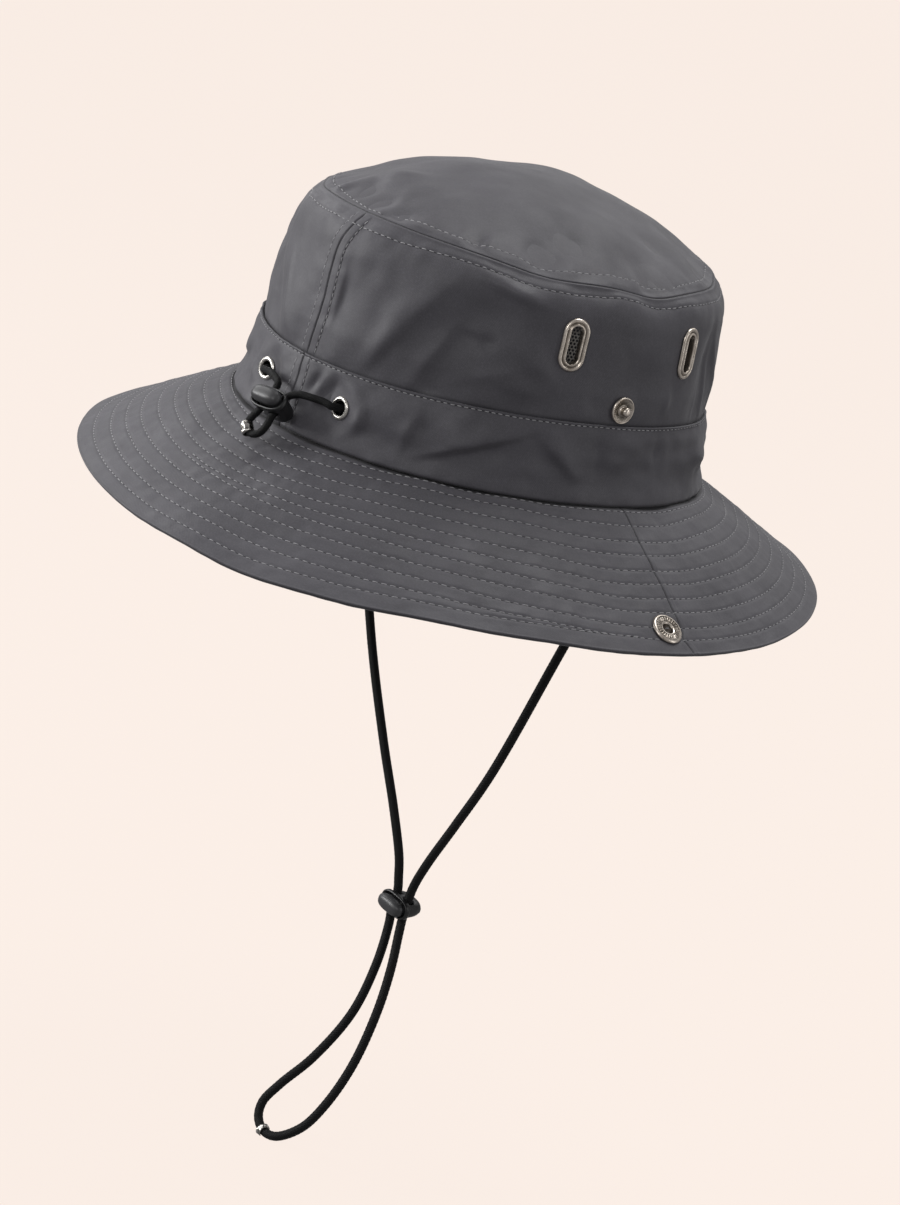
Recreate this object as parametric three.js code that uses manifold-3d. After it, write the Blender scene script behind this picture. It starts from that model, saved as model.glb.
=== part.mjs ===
// Angler hat: a soft bucket crown, a wide sewn brim, a drawcord at the back and a chin cord.
// Millimetres, +Z up. The wearer faces -Y and has the right ear at -X.
// The origin is the middle of the head opening, in the plane where brim and crown are sewn together.
// Angles run anticlockwise from +X seen from above: 90 is the back, 180 the right, 270 the front.
import * as THREE from 'three';
import { mergeVertices } from 'three/addons/utils/BufferGeometryUtils.js';
import Module from 'manifold-3d';

const wasm = await Module();
wasm.setup();

// Driving dimensions
const HALF_WIDTH = 95.7;
const HALF_LENGTH = 101.7;
const BAND_HEIGHT = 31.2;
const CROWN_HEIGHT = 86;
const TIP_HEIGHT = 25;
const BRIM_WIDTH = 68.8;
const COLLAR_WIDTH = 7;
const CLOTH = 1.2;
const BRIM_CLOTH = 2;
const GAP = 0.3;
const SIDES = 44;

const DRAWCORD_RADIUS = 1.4;
const CHIN_CORD_RADIUS = 1.95;
const CORD_INSET = 3.5;
const DRAWCORD_LEVEL = 16.4;
const CHIN_CORD_LEVEL = 6.4;

// Crown wall: how far the outline shrinks with height
const PROFILE = [
  { height: 0, scale: 1 },
  { height: 8.4, scale: 0.967 },
  { height: 15.8, scale: 0.958 },
  { height: 29.4, scale: 0.952 },
  { height: 52.5, scale: 0.935 },
  { height: 68, scale: 0.9245 },
  { height: 75, scale: 0.9185 },
  { height: 80.5, scale: 0.896 },
  { height: CROWN_HEIGHT, scale: 0.84 },
];

// Crown wall behind the band: it steps inwards and leaves the drawcord's channel
const WALL_INSET = [
  { height: 0, inset: 1.9 },
  { height: 4, inset: 5.5 },
  { height: 7, inset: 6.1 },
  { height: 20, inset: 6 },
  { height: 25, inset: 4 },
  { height: 29.5, inset: 1.7 },
  { height: 34, inset: 0.9 },
  { height: 43, inset: 0 },
];

// Where the channel is deeper, for the cord's bend out through an eyelet
const EYELET_POCKETS = [
  { angle: 110, width: 9, depth: 2 },
  { angle: 73, width: 9, depth: 2 },
];

// How each sewn line rises and falls round the head: twice round, and back against front
const LEVELS = [
  { height: 0, sides: 0.97, back: 0 },
  { height: BAND_HEIGHT, sides: 1.84, back: 0 },
  { height: CROWN_HEIGHT, sides: -1.32, back: 0.86 },
];

// Dips of the top seam
const SEAM_DIPS = [
  { angle: 20, width: 13, drop: 1.2 },
  { angle: 55, width: 11, drop: 1 },
  { angle: 148, width: 12, drop: 1.7 },
  { angle: 182, width: 10, drop: 2.2 },
  { angle: 224, width: 12, drop: 1.2 },
  { angle: 262, width: 12, drop: 1.6 },
  { angle: 305, width: 11, drop: 1.4 },
  { angle: 340, width: 12, drop: 1.8 },
];

// Broad hollows pressed into the crown: they deepen between two heights
const HOLLOWS = [
  { angle: 226, width: 24, depth: 3.2, from: 16, to: 46 },
  { angle: 226, width: 24, depth: -0.9, from: 66, to: 84 },
  { angle: 46, width: 20, depth: 2.2, from: 54, to: 76 },
];

// Soft folds of the crown wall: turn is the lean from upright, a negative depth stands out
const WALL_FOLDS = [
  { angle: 73, height: 48, turn: -41, length: 24, width: 7, depth: -1.3 },
  { angle: 64, height: 50, turn: -30, length: 20, width: 8, depth: 1.6 },
  { angle: 100, height: 58, turn: -4, length: 14, width: 8, depth: 1.5 },
  { angle: 120, height: 62, turn: 46, length: 22, width: 8, depth: -1.4 },
  { angle: 133, height: 58, turn: 40, length: 24, width: 10, depth: 2.2 },
  { angle: 178, height: 52, turn: 8, length: 12, width: 9, depth: 1.2 },
  { angle: 208, height: 50, turn: 8, length: 22, width: 7, depth: 1.6 },
  { angle: 219, height: 56, turn: -12, length: 20, width: 8, depth: -1.2 },
  { angle: 236, height: 58, turn: 20, length: 20, width: 9, depth: 1.6 },
  { angle: 262, height: 52, turn: -25, length: 22, width: 10, depth: 2 },
  { angle: 281, height: 62, turn: 15, length: 16, width: 8, depth: -1.4 },
  { angle: 303, height: 54, turn: 35, length: 20, width: 9, depth: 1.8 },
  { angle: 326, height: 50, turn: -20, length: 18, width: 8, depth: 1.4 },
  { angle: 2, height: 52, turn: 5, length: 12, width: 9, depth: 1.2 },
  { angle: 43, height: 58, turn: 25, length: 20, width: 9, depth: 1.7 },
];

// Bulges of the band over its channel, in the same terms
const BAND_FOLDS = [
  { angle: 66, height: 12, turn: 10, length: 12, width: 8, depth: -0.8 },
  { angle: 118, height: 18, turn: 112, length: 12, width: 7, depth: -1 },
  { angle: 132, height: 20, turn: 67, length: 16, width: 6, depth: -1.2 },
  { angle: 143, height: 8, turn: 75, length: 18, width: 6, depth: -1.1 },
  { angle: 166, height: 18, turn: 100, length: 14, width: 7, depth: -0.9 },
  { angle: 209, height: 16, turn: 0, length: 12, width: 7, depth: -1.1 },
  { angle: 238, height: 15, turn: 70, length: 16, width: 7, depth: -1.1 },
  { angle: 281, height: 16, turn: 100, length: 18, width: 7, depth: -1.2 },
  { angle: 322, height: 14, turn: 60, length: 14, width: 7, depth: -1 },
  { angle: 12, height: 17, turn: 105, length: 16, width: 7, depth: -1 },
];

// Soft folds of the tip: reach runs from 0 at the middle to 1 at the seam, turn is the lean from radial
const TIP_FOLDS = [
  { angle: 86, reach: 0.9, turn: 15, length: 9, width: 7, depth: 1.2 },
  { angle: 98, reach: 0.88, turn: 10, length: 9, width: 6, depth: 1 },
  { angle: 78, reach: 0.7, turn: 90, length: 20, width: 6, depth: -1 },
  { angle: 150, reach: 0.8, turn: -38, length: 14, width: 9, depth: 2 },
  { angle: 198, reach: 0.78, turn: -46, length: 12, width: 9, depth: 1.7 },
  { angle: 232, reach: 0.84, turn: 30, length: 12, width: 9, depth: 1.6 },
  { angle: 271, reach: 0.78, turn: -20, length: 14, width: 10, depth: 1.8 },
  { angle: 318, reach: 0.82, turn: 35, length: 12, width: 9, depth: 1.6 },
  { angle: 5, reach: 0.8, turn: -30, length: 13, width: 9, depth: 1.6 },
  { angle: 44, reach: 0.86, turn: 25, length: 10, width: 8, depth: 1.3 },
];

// Brim: the drop of its edge below the seam, as a level part and what changes round the head
const BRIM_DROP = { level: 35.23, back: 4.25, left: -2.68, sides: -0.12, twist: 1.52 };
const BRIM_WAVES = [
  { angle: 52, width: 32, drop: -2.9 },
  { angle: 112, width: 14, drop: 1.6 },
  { angle: 146, width: 15, drop: -1.6 },
  { angle: 182, width: 16, drop: 0.8 },
  { angle: 238, width: 27, drop: -2.7 },
];

const VENTS = [
  { name: 'right_rear', angle: 157.9, height: 62 },
  { name: 'right_front', angle: 194.2, height: 62.7 },
  { name: 'left_rear', angle: 22.1, height: 62 },
  { name: 'left_front', angle: -14.2, height: 62.7 },
];
const VENT_HALF_SLOT = 5;
const VENT_SLOT_RADIUS = 3;
const SNAPS = [
  { name: 'right', studAngle: 175, socketAngle: 176.8 },
  { name: 'left', studAngle: 5, socketAngle: 3.2 },
];
const STUD_HEIGHT = 37.8;
const SOCKET_REACH = 0.83;
const REAR_EYELETS = [
  { name: 'right', angle: 106.4, height: DRAWCORD_LEVEL },
  { name: 'left', angle: 76.5, height: DRAWCORD_LEVEL + 0.4 },
];
const CHIN_SLOT_ANGLES = [186, -6];

// Rounded section of a vent frame: out from the slot's edge, and up from the cloth's face
const VENT_FRAME = [
  { out: 0, up: -2.5 },
  { out: 2, up: -2.5 },
  { out: 0.9, up: -1.9 },
  { out: 0.9, up: 0.5 },
  { out: 3, up: 0.5 },
  { out: 2.4, up: 1.3 },
  { out: 0.7, up: 1.3 },
];
const MESH_THICKNESS = 1;

// Turned sections of the round fittings: distance from the axis, and up from the cloth's face
const EYELET = [
  { out: 2.8, up: -0.6 },
  { out: 3.2, up: -1.9 },
  { out: 4.2, up: -1.55 },
  { out: 3.4, up: -1.5 },
  { out: 3.4, up: 0.5 },
  { out: 4.7, up: 0.5 },
  { out: 4.2, up: 1.05 },
  { out: 3.1, up: 0.85 },
];
const STUD = [
  { out: 0, up: 4.3 },
  { out: 1.5, up: 4.1 },
  { out: 1.9, up: 3.4 },
  { out: 1.6, up: 2.6 },
  { out: 1.8, up: 1.2 },
  { out: 4.5, up: 1.1 },
  { out: 5, up: 1.5 },
  { out: 5.4, up: 0.8 },
  { out: 1.1, up: 0.8 },
  { out: 1.1, up: -1.9 },
  { out: 4, up: -1.9 },
  { out: 3.4, up: -2.6 },
  { out: 0, up: -2.6 },
];
const SOCKET = [
  { out: 2.1, up: 0.6 },
  { out: 2.1, up: -3.2 },
  { out: 5.5, up: -3.1 },
  { out: 5.5, up: -2.35 },
  { out: 3, up: -2.35 },
  { out: 3, up: 0.35 },
  { out: 6.6, up: 0.35 },
  { out: 5.9, up: 1.4 },
  { out: 3, up: 1.4 },
];

// Cord lock, along its push axis: height 0 is where the cords pass
const LOCK_BODY = [
  { height: -7.5, width: 9, depth: 4.2 },
  { height: -6.6, width: 13.4, depth: 6.8 },
  { height: -4, width: 15.8, depth: 8.4 },
  { height: 1.2, width: 16.6, depth: 8.8 },
  { height: 2.2, width: 18, depth: 9.8 },
  { height: 4, width: 17.6, depth: 9.6 },
];
const LOCK_BUTTON = [
  { height: -3.6, width: 13.8, depth: 5.4 },
  { height: 4.6, width: 13.8, depth: 5.4 },
  { height: 4.6, width: 14.8, depth: 7 },
  { height: 6.4, width: 14.4, depth: 6.8 },
  { height: 7.7, width: 11.6, depth: 5 },
  { height: 8.3, width: 6, depth: 2.4 },
];
const LOCK_CORD_SPACING = 8;
const LOCK_TRAVEL = 2.3;
const LOCK_SIDES = 12;
const LOCK_RUN = 4.8;
const LOCKS = {
  rear: { centre: [-4.5, 109.3, 8.8], push: [0, 0.777, 0.629], long: [-0.995, -0.066, 0.081] },
  chin: { centre: [-6, -25.1, -215.3], push: [0, 1, 0], long: [-0.998, 0, -0.07] },
};

// Drawcord's bend out through an eyelet: along the band away from the lock, and off its face
const EYELET_RUN = [
  { along: 13, off: -4.3 },
  { along: 8.6, off: -4.8 },
  { along: 5.4, off: -4.6 },
  { along: 2.9, off: -3.6 },
  { along: 1.1, off: -1.95 },
  { along: -0.1, off: -0.3 },
  { along: -1.1, off: 1.3 },
  { along: -2.5, off: 2.7 },
];

// Drawcord between the eyelets and the lock, and its loop beyond the lock
const DRAWCORD_RIGHT = [[-20.8, 98.3, 15.7], [-16, 101, 15.7], [-11.4, 103.2, 15.2]];
const DRAWCORD_LOOP = [
  [-9.5, 113.7, 2.2], [-9, 114.9, -0.6], [-6.9, 115.8, -2.9], [-3.8, 116.2, -3.7], [-1, 116, -2.6],
  [0.3, 115.1, -0.2], [-0.3, 114, 2.4],
];
const DRAWCORD_LEFT = [[2.4, 103.5, 15.4], [7.8, 101.8, 16.5], [13.4, 99.6, 16.3]];

// Chin cord: its right strand, its loop beyond the lock, its left strand, and its turn into the channel
const CHIN_CORD_RIGHT = [
  [-85.3, -13.6, 5.4], [-84.7, -14.6, 3.3], [-84.3, -15.3, 0.6], [-83.6, -16.4, -8], [-79.3, -18.4, -32],
  [-65.7, -19.7, -70.5], [-42.1, -22.3, -137.4], [-27.8, -23.5, -168.2], [-16.4, -24.7, -191.2],
  [-11.5, -25.2, -203.6],
];
const CHIN_CORD_LOOP = [
  [-11.1, -23.9, -226], [-18.6, -17.4, -240], [-25.3, -9.3, -257], [-28.1, -0.6, -279.7], [-26.1, 7.3, -299.1],
  [-19.5, 11.6, -313.3], [-10, 16.3, -321.9], [-2.3, 17.1, -322.8], [4, 15.8, -319.6], [6.6, 13.1, -314.1],
  [4.2, 8, -305], [-5.4, 1.6, -287.3], [-12.3, -7.7, -263], [-9.9, -16.6, -241.7], [-3.1, -24.4, -226],
];
const CHIN_CORD_LEFT = [
  [-1.1, -24.8, -204.5], [1.4, -24.4, -196], [11, -23.3, -177.6], [26.7, -21.9, -151.9], [50, -21, -112],
  [73.5, -19.1, -57.5], [80.2, -18.3, -32], [83.6, -16.4, -8], [84.3, -15.3, 0.6], [84.7, -14.6, 3.3],
  [85.3, -13.6, 5.4],
];
const CHIN_CORD_TURN = [[-89.3, -5.6, 7.2], [-87.6, -9.2, 7.2], [-86.6, -11.2, 7], [-86, -12.4, 6.5]];

// Straight steps of each cord's tube, and the step that its clip sits on
const CORD_STEPS = { rear: 36, rearInner: 36, chin: 71, chinInner: 26 };
const CLIPS = {
  rear: { step: 18, length: 3.2, wall: 0.6 },
  chin: { step: 35, length: 2.6, wall: 0.4 },
};

const MATERIALS = {
  cloth: { color: '#47474b', roughness: 0.75, metalness: 0 },
  mesh: { color: '#1b1b1c', roughness: 0.8, metalness: 0 },
  nickel: { color: '#8d857c', roughness: 0.35, metalness: 1 },
  silver: { color: '#c9c7c2', roughness: 0.2, metalness: 1 },
  cord: { color: '#141414', roughness: 0.8, metalness: 0 },
  plastic: { color: '#2b2b2d', roughness: 0.45, metalness: 0 },
};

// Small helpers
const radians = THREE.MathUtils.degToRad;
const vector = (values) => new THREE.Vector3(...values);

function turnTo(angle, from) {
  return THREE.MathUtils.euclideanModulo(angle - from + 180, 360) - 180;
}

// One column of a table, read at a height, with a smooth slope through its rows
function column(table, name, at) {
  const last = table.length - 1;
  if (at <= table[0].height) return table[0][name];
  if (at >= table[last].height) return table[last][name];
  const i = table.findIndex((row) => row.height > at) - 1;
  const slope = (k) => {
    const a = table[Math.max(k - 1, 0)];
    const b = table[Math.min(k + 1, last)];
    return (b[name] - a[name]) / (b.height - a.height);
  };
  const step = table[i + 1].height - table[i].height;
  const s = (at - table[i].height) / step;
  const rise = table[i + 1][name] - table[i][name];
  const ease = s * s * (3 - 2 * s);
  const start = s * (1 - s) * (1 - s) * step * slope(i);
  const end = s * s * (s - 1) * step * slope(i + 1);
  return table[i][name] + ease * rise + start + end;
}

// Surfaces of the sewn pieces
function outwards(theta) {
  return new THREE.Vector3(Math.cos(theta) / HALF_WIDTH, Math.sin(theta) / HALF_LENGTH, 0).normalize();
}

function outline(theta, scale, inset, z) {
  const ring = new THREE.Vector3(HALF_WIDTH * scale * Math.cos(theta), HALF_LENGTH * scale * Math.sin(theta), z);
  return ring.addScaledVector(outwards(theta), -inset);
}

function lift(theta, height) {
  const sides = column(LEVELS, 'sides', height) * Math.cos(2 * theta);
  return sides + column(LEVELS, 'back', height) * Math.sin(theta);
}

function seamDip(theta) {
  let drop = 0;
  for (const dip of SEAM_DIPS) {
    const away = turnTo(THREE.MathUtils.radToDeg(theta), dip.angle) / dip.width;
    drop += dip.drop * Math.exp(-away * away);
  }
  return drop;
}

function foldDepth(folds, theta, place, span, radius) {
  let depth = 0;
  for (const fold of folds) {
    const side = radians(turnTo(THREE.MathUtils.radToDeg(theta), fold.angle)) * radius;
    const rise = (place - (fold.height ?? fold.reach)) * span;
    const turn = radians(fold.turn);
    const along = (side * Math.sin(turn) + rise * Math.cos(turn)) / fold.length;
    const across = (side * Math.cos(turn) - rise * Math.sin(turn)) / fold.width;
    depth += fold.depth * Math.exp(-along * along - across * across);
  }
  return depth;
}

function hollow(theta, height) {
  let depth = 0;
  for (const { angle, width, depth: deep, from, to } of HOLLOWS) {
    const away = turnTo(THREE.MathUtils.radToDeg(theta), angle) / width;
    depth += deep * Math.exp(-away * away) * THREE.MathUtils.smoothstep(height, from, to);
  }
  return depth;
}

function wallInset(theta, height) {
  let pocket = 0;
  for (const { angle, width, depth } of EYELET_POCKETS) {
    const away = turnTo(THREE.MathUtils.radToDeg(theta), angle) / width;
    pocket += depth * Math.exp(-away * away);
  }
  const level = (height - DRAWCORD_LEVEL) / 8;
  return column(WALL_INSET, 'inset', height) + pocket * Math.exp(-(level ** 4));
}

function wallPoint(theta, height, inset) {
  const above = THREE.MathUtils.smoothstep(height, BAND_HEIGHT - 4, BAND_HEIGHT + 6);
  const fold = above * foldDepth(WALL_FOLDS, theta, height, 1, HALF_WIDTH) + hollow(theta, height);
  const dip = seamDip(theta) * THREE.MathUtils.smoothstep(height, CROWN_HEIGHT - 30, CROWN_HEIGHT);
  return outline(theta, column(PROFILE, 'scale', height), inset + fold, height + lift(theta, height) - dip);
}

function bandPoint(theta, height, inset) {
  const fold = foldDepth(BAND_FOLDS, theta, height, 1, HALF_WIDTH) + hollow(theta, height);
  return outline(theta, column(PROFILE, 'scale', height), inset + fold, height + lift(theta, height));
}

function tipPoint(theta, reach, cloth) {
  const scale = column(PROFILE, 'scale', CROWN_HEIGHT);
  const fold = foldDepth(TIP_FOLDS, theta, reach, HALF_WIDTH * scale, HALF_WIDTH * scale * reach);
  const dome = (TIP_HEIGHT - cloth) * (1 - reach * reach) - fold * (1 - reach ** 8);
  const edge = lift(theta, CROWN_HEIGHT) * reach - seamDip(theta) * reach ** 6;
  const inset = cloth * 1.2 * reach + hollow(theta, CROWN_HEIGHT) * reach * reach;
  return outline(theta, scale * reach, inset, CROWN_HEIGHT + dome + edge);
}

function brimDrop(theta) {
  const { level, back, left, sides, twist } = BRIM_DROP;
  const once = back * Math.sin(theta) + left * Math.cos(theta);
  return level + once + sides * Math.cos(2 * theta) + twist * Math.sin(2 * theta);
}

function brimWave(theta) {
  let drop = 0;
  for (const wave of BRIM_WAVES) {
    const away = turnTo(THREE.MathUtils.radToDeg(theta), wave.angle) / wave.width;
    drop += wave.drop * Math.exp(-away * away);
  }
  return drop;
}

function brimPoint(theta, reach, below) {
  const drop = brimDrop(theta);
  const width = Math.sqrt(BRIM_WIDTH ** 2 - drop ** 2);
  const fall = (drop + brimWave(theta)) * reach;
  const away = outwards(theta);
  const seam = outline(theta, 1, 0, lift(theta, 0));
  const down = new THREE.Vector3(0, 0, -1);
  const across = away.clone().multiplyScalar(-drop / BRIM_WIDTH).addScaledVector(down, width / BRIM_WIDTH);
  const lean = THREE.MathUtils.smoothstep(reach, 0, 0.15);
  const under = down.clone().lerp(across, lean).multiplyScalar(below);
  return seam.addScaledVector(away, width * reach).addScaledVector(down, fall).add(under);
}

function collarPoint(theta, inset, below) {
  return outline(theta, 1, inset, lift(theta, 0) - below);
}

// Closed meshes
function closedGeometry(geometry) {
  geometry.deleteAttribute('normal');
  geometry.deleteAttribute('uv');
  const merged = mergeVertices(geometry, 1e-4);
  const position = merged.getAttribute('position');
  const index = merged.getIndex().array;
  const corner = [0, 1, 2].map(() => new THREE.Vector3());
  let volume = 0;
  for (let i = 0; i < index.length; i += 3) {
    corner.forEach((point, k) => point.fromBufferAttribute(position, index[i + k]));
    volume += corner[0].dot(corner[1].clone().cross(corner[2]));
  }
  if (volume < 0) {
    for (let i = 0; i < index.length; i += 3) [index[i], index[i + 1]] = [index[i + 1], index[i]];
  }
  return merged;
}

// Joins rings of points into a closed skin: the last ring meets the first, or single points close the ends
function skin(rings) {
  const points = rings.flat();
  const starts = rings.map((_, k) => rings.slice(0, k).reduce((sum, ring) => sum + ring.length, 0));
  const faces = [];
  const looped = rings[0].length > 1;
  for (let k = 0; k < rings.length - (looped ? 0 : 1); k += 1) {
    const next = (k + 1) % rings.length;
    const [a, b] = [rings[k].length, rings[next].length];
    const count = Math.max(a, b);
    for (let i = 0; i < count; i += 1) {
      const j = (i + 1) % count;
      const low = [starts[k] + (i % a), starts[k] + (j % a)];
      const high = [starts[next] + (i % b), starts[next] + (j % b)];
      if (a > 1) faces.push(low[0], low[1], high[1]);
      if (b > 1) faces.push(low[0], high[1], high[0]);
    }
  }
  const geometry = new THREE.BufferGeometry().setFromPoints(points);
  geometry.setIndex(faces);
  return closedGeometry(geometry);
}

function around(point) {
  return Array.from({ length: SIDES }, (_, i) => point((2 * Math.PI * i) / SIDES));
}

function toManifold(geometry) {
  const vertProperties = new Float32Array(geometry.getAttribute('position').array);
  const triVerts = new Uint32Array(geometry.getIndex().array);
  return new wasm.Manifold(new wasm.Mesh({ numProp: 3, vertProperties, triVerts }));
}

function fromManifold(manifold) {
  const mesh = manifold.getMesh();
  const geometry = new THREE.BufferGeometry();
  geometry.setAttribute('position', new THREE.BufferAttribute(new Float32Array(mesh.vertProperties), 3));
  geometry.setIndex(new THREE.BufferAttribute(new Uint32Array(mesh.triVerts), 1));
  return closedGeometry(geometry);
}

function cut(geometry, cutters) {
  return fromManifold(cutters.reduce((left, cutter) => left.subtract(toManifold(cutter)), toManifold(geometry)));
}

// A seat on the cloth: the matrix whose Z stands off the surface and whose Y runs up or out along it
function seat(point, theta, place) {
  const small = 0.002;
  const at = point(theta, place);
  const side = point(theta + small, place).sub(point(theta - small, place)).normalize();
  const up = point(theta, place + small * 10).sub(point(theta, place - small * 10)).normalize();
  const off = side.clone().cross(up).normalize();
  const across = up.clone().cross(off);
  return new THREE.Matrix4().makeBasis(across, up, off).setPosition(at);
}

const wallSeat = (angle, height) => seat((t, z) => wallPoint(t, z, wallInset(t, z)), radians(angle), height);
const bandSeat = (angle, height) => seat((t, z) => bandPoint(t, z, 0), radians(angle), height);
const brimSeat = (angle, reach) => seat((t, r) => brimPoint(t, 1 - r, 0), radians(angle), 1 - reach);

// An oblong outline round a slot, as a closed row of points
function oblong(halfLength, radius, z, sides = 5) {
  const ends = [];
  for (const end of [1, -1]) {
    for (let i = 0; i < sides; i += 1) {
      const turn = (Math.PI * i) / (sides - 1);
      ends.push(new THREE.Vector3(end * radius * Math.cos(turn), end * (halfLength + radius * Math.sin(turn)), z));
    }
  }
  return ends;
}

function oblongPlug(halfLength, radius, low, high) {
  const rings = [low, high].map((z) => oblong(halfLength, radius, z));
  return skin([[new THREE.Vector3(0, 0, low)], ...rings, [new THREE.Vector3(0, 0, high)]]);
}

function roundPlug(radius, low, high, sides = 10) {
  const plug = new THREE.CylinderGeometry(radius, radius, high - low, sides);
  return closedGeometry(plug.rotateX(Math.PI / 2).translate(0, 0, (low + high) / 2));
}

function turned(section, sides = 10) {
  const onAxis = section[0].out === 0;
  const rows = onAxis ? section : [...section, section[0]];
  const profile = rows.map((row) => new THREE.Vector2(row.out, row.up));
  return closedGeometry(new THREE.LatheGeometry(profile, sides).rotateX(Math.PI / 2));
}

function tube(points, radius, steps) {
  const corners = Array.from({ length: 8 }, (_, i) => {
    const turn = (Math.PI * (2 * i + 1)) / 8;
    return new THREE.Vector2(radius * Math.cos(turn), radius * Math.sin(turn));
  });
  const extrudePath = new THREE.CatmullRomCurve3(points, false, 'centripetal');
  return closedGeometry(new THREE.ExtrudeGeometry(new THREE.Shape(corners), { steps, extrudePath }));
}

// The object
const hat = new THREE.Group();

function add(name, finish, geometry, matrix) {
  const mesh = new THREE.Mesh(geometry, new THREE.MeshStandardMaterial(MATERIALS[finish]));
  mesh.name = name;
  if (matrix) matrix.decompose(mesh.position, mesh.quaternion, mesh.scale);
  hat.add(mesh);
}

const moved = (geometry, matrix) => geometry.clone().applyMatrix4(matrix);

function crownTip() {
  const reaches = [0.25, 0.5, 0.72, 0.88, 1];
  const top = tipPoint(0, 0, 0);
  const bottom = tipPoint(0, 0, CLOTH);
  const outer = reaches.map((reach) => around((theta) => tipPoint(theta, reach, 0)));
  const inner = reaches.map((reach) => around((theta) => tipPoint(theta, reach, CLOTH))).reverse();
  add('crown_tip', 'cloth', skin([[top], ...outer, ...inner, [bottom]]));
}

function crownWall() {
  const outerHeights = [GAP, 5, 9, 20, 29.5, 35, 43, 53, 63, 75, 80.5, CROWN_HEIGHT - GAP];
  const innerHeights = [CROWN_HEIGHT - GAP, 75, 60, 45, 32, 22, 5, GAP];
  const lean = (height) => {
    const rise = (column(PROFILE, 'scale', height) - column(PROFILE, 'scale', height - 1)) * HALF_WIDTH;
    return Math.hypot(1, rise);
  };
  const outer = outerHeights.map((z) => around((t) => wallPoint(t, z, wallInset(t, z))));
  const inner = innerHeights.map((z) => {
    return around((t) => wallPoint(t, z, wallInset(t, z) + CLOTH * lean(z)));
  });
  const cutters = [];
  for (const vent of VENTS) {
    const plug = oblongPlug(VENT_HALF_SLOT, VENT_SLOT_RADIUS + 0.9 + GAP, -6, 6);
    cutters.push(moved(plug, wallSeat(vent.angle, vent.height)));
  }
  for (const snap of SNAPS) {
    cutters.push(moved(roundPlug(1.1 + GAP, -6, 6, 10), wallSeat(snap.studAngle, STUD_HEIGHT)));
  }
  for (const angle of CHIN_SLOT_ANGLES) {
    const sideways = new THREE.Matrix4().makeRotationZ(Math.PI / 2);
    const plug = moved(oblongPlug(8, 3.5, -3, 3), sideways);
    cutters.push(moved(plug, wallSeat(angle, CHIN_CORD_LEVEL)));
  }
  add('crown_wall', 'cloth', cut(skin([...outer, ...inner]), cutters));
}

function crownBand() {
  const heights = [GAP, 8, 16, 24, BAND_HEIGHT];
  const outer = heights.map((z) => around((t) => bandPoint(t, z, z < 1 ? GAP : 0)));
  const inner = [BAND_HEIGHT, 16, GAP].map((z) => around((t) => bandPoint(t, z, CLOTH)));
  const holes = REAR_EYELETS.map((eyelet) => {
    return moved(roundPlug(3.4 + GAP, -6, 6), bandSeat(eyelet.angle, eyelet.height));
  });
  add('crown_band', 'cloth', cut(skin([...outer, ...inner]), holes));
}

function brim() {
  const top = [0, 0.2, 0.48, 0.76, 0.985].map((reach) => around((t) => brimPoint(t, reach, 0)));
  const edge = around((t) => brimPoint(t, 1, BRIM_CLOTH / 2));
  const under = [0.985, 0.5, 0].map((reach) => around((t) => brimPoint(t, reach, BRIM_CLOTH)));
  const collarTop = around((t) => collarPoint(t, COLLAR_WIDTH, 0));
  const collarUnder = around((t) => collarPoint(t, COLLAR_WIDTH, BRIM_CLOTH));
  const holes = SNAPS.map((snap) => {
    return moved(roundPlug(3 + GAP, -6, 6), brimSeat(snap.socketAngle, SOCKET_REACH));
  });
  add('brim', 'cloth', cut(skin([collarTop, ...top, edge, ...under, collarUnder]), holes));
}

function vents() {
  const frame = skin(VENT_FRAME.map((row) => oblong(VENT_HALF_SLOT, VENT_SLOT_RADIUS + row.out, row.up)));
  const patchTop = VENT_FRAME[0].up - GAP;
  const patch = oblongPlug(VENT_HALF_SLOT, VENT_SLOT_RADIUS + 2, patchTop - MESH_THICKNESS, patchTop);
  for (const vent of VENTS) {
    const matrix = wallSeat(vent.angle, vent.height);
    add(`vent_frame_${vent.name}`, 'nickel', frame, matrix);
    add(`vent_mesh_${vent.name}`, 'mesh', patch, matrix);
  }
}

function snaps() {
  for (const snap of SNAPS) {
    add(`snap_stud_${snap.name}`, 'nickel', turned(STUD), wallSeat(snap.studAngle, STUD_HEIGHT));
    add(`snap_socket_${snap.name}`, 'nickel', turned(SOCKET), brimSeat(snap.socketAngle, SOCKET_REACH));
  }
}

function rearEyelets() {
  for (const eyelet of REAR_EYELETS) {
    add(`rear_eyelet_${eyelet.name}`, 'silver', turned(EYELET), bandSeat(eyelet.angle, eyelet.height));
  }
}

// A cord's run round the channel between two angles
function channelRun(from, to, level) {
  const count = Math.round(Math.abs(to - from) / 7);
  return Array.from({ length: count + 1 }, (_, i) => {
    const theta = radians(from + ((to - from) * i) / count);
    return outline(theta, column(PROFILE, 'scale', level), CORD_INSET, level + lift(theta, level));
  });
}

// A strand's straight run through its lock, on one side of the middle, downwards
function lockRun(name, side) {
  const matrix = lockSeat(name);
  const beside = (side * LOCK_CORD_SPACING) / 2;
  return [LOCK_RUN, -LOCK_RUN].map((along) => new THREE.Vector3(beside, along, 0).applyMatrix4(matrix));
}

function eyeletRun(eyelet, side) {
  const matrix = bandSeat(eyelet.angle, eyelet.height);
  return EYELET_RUN.map((row) => new THREE.Vector3(side * row.along, 0, row.off).applyMatrix4(matrix));
}

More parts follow.
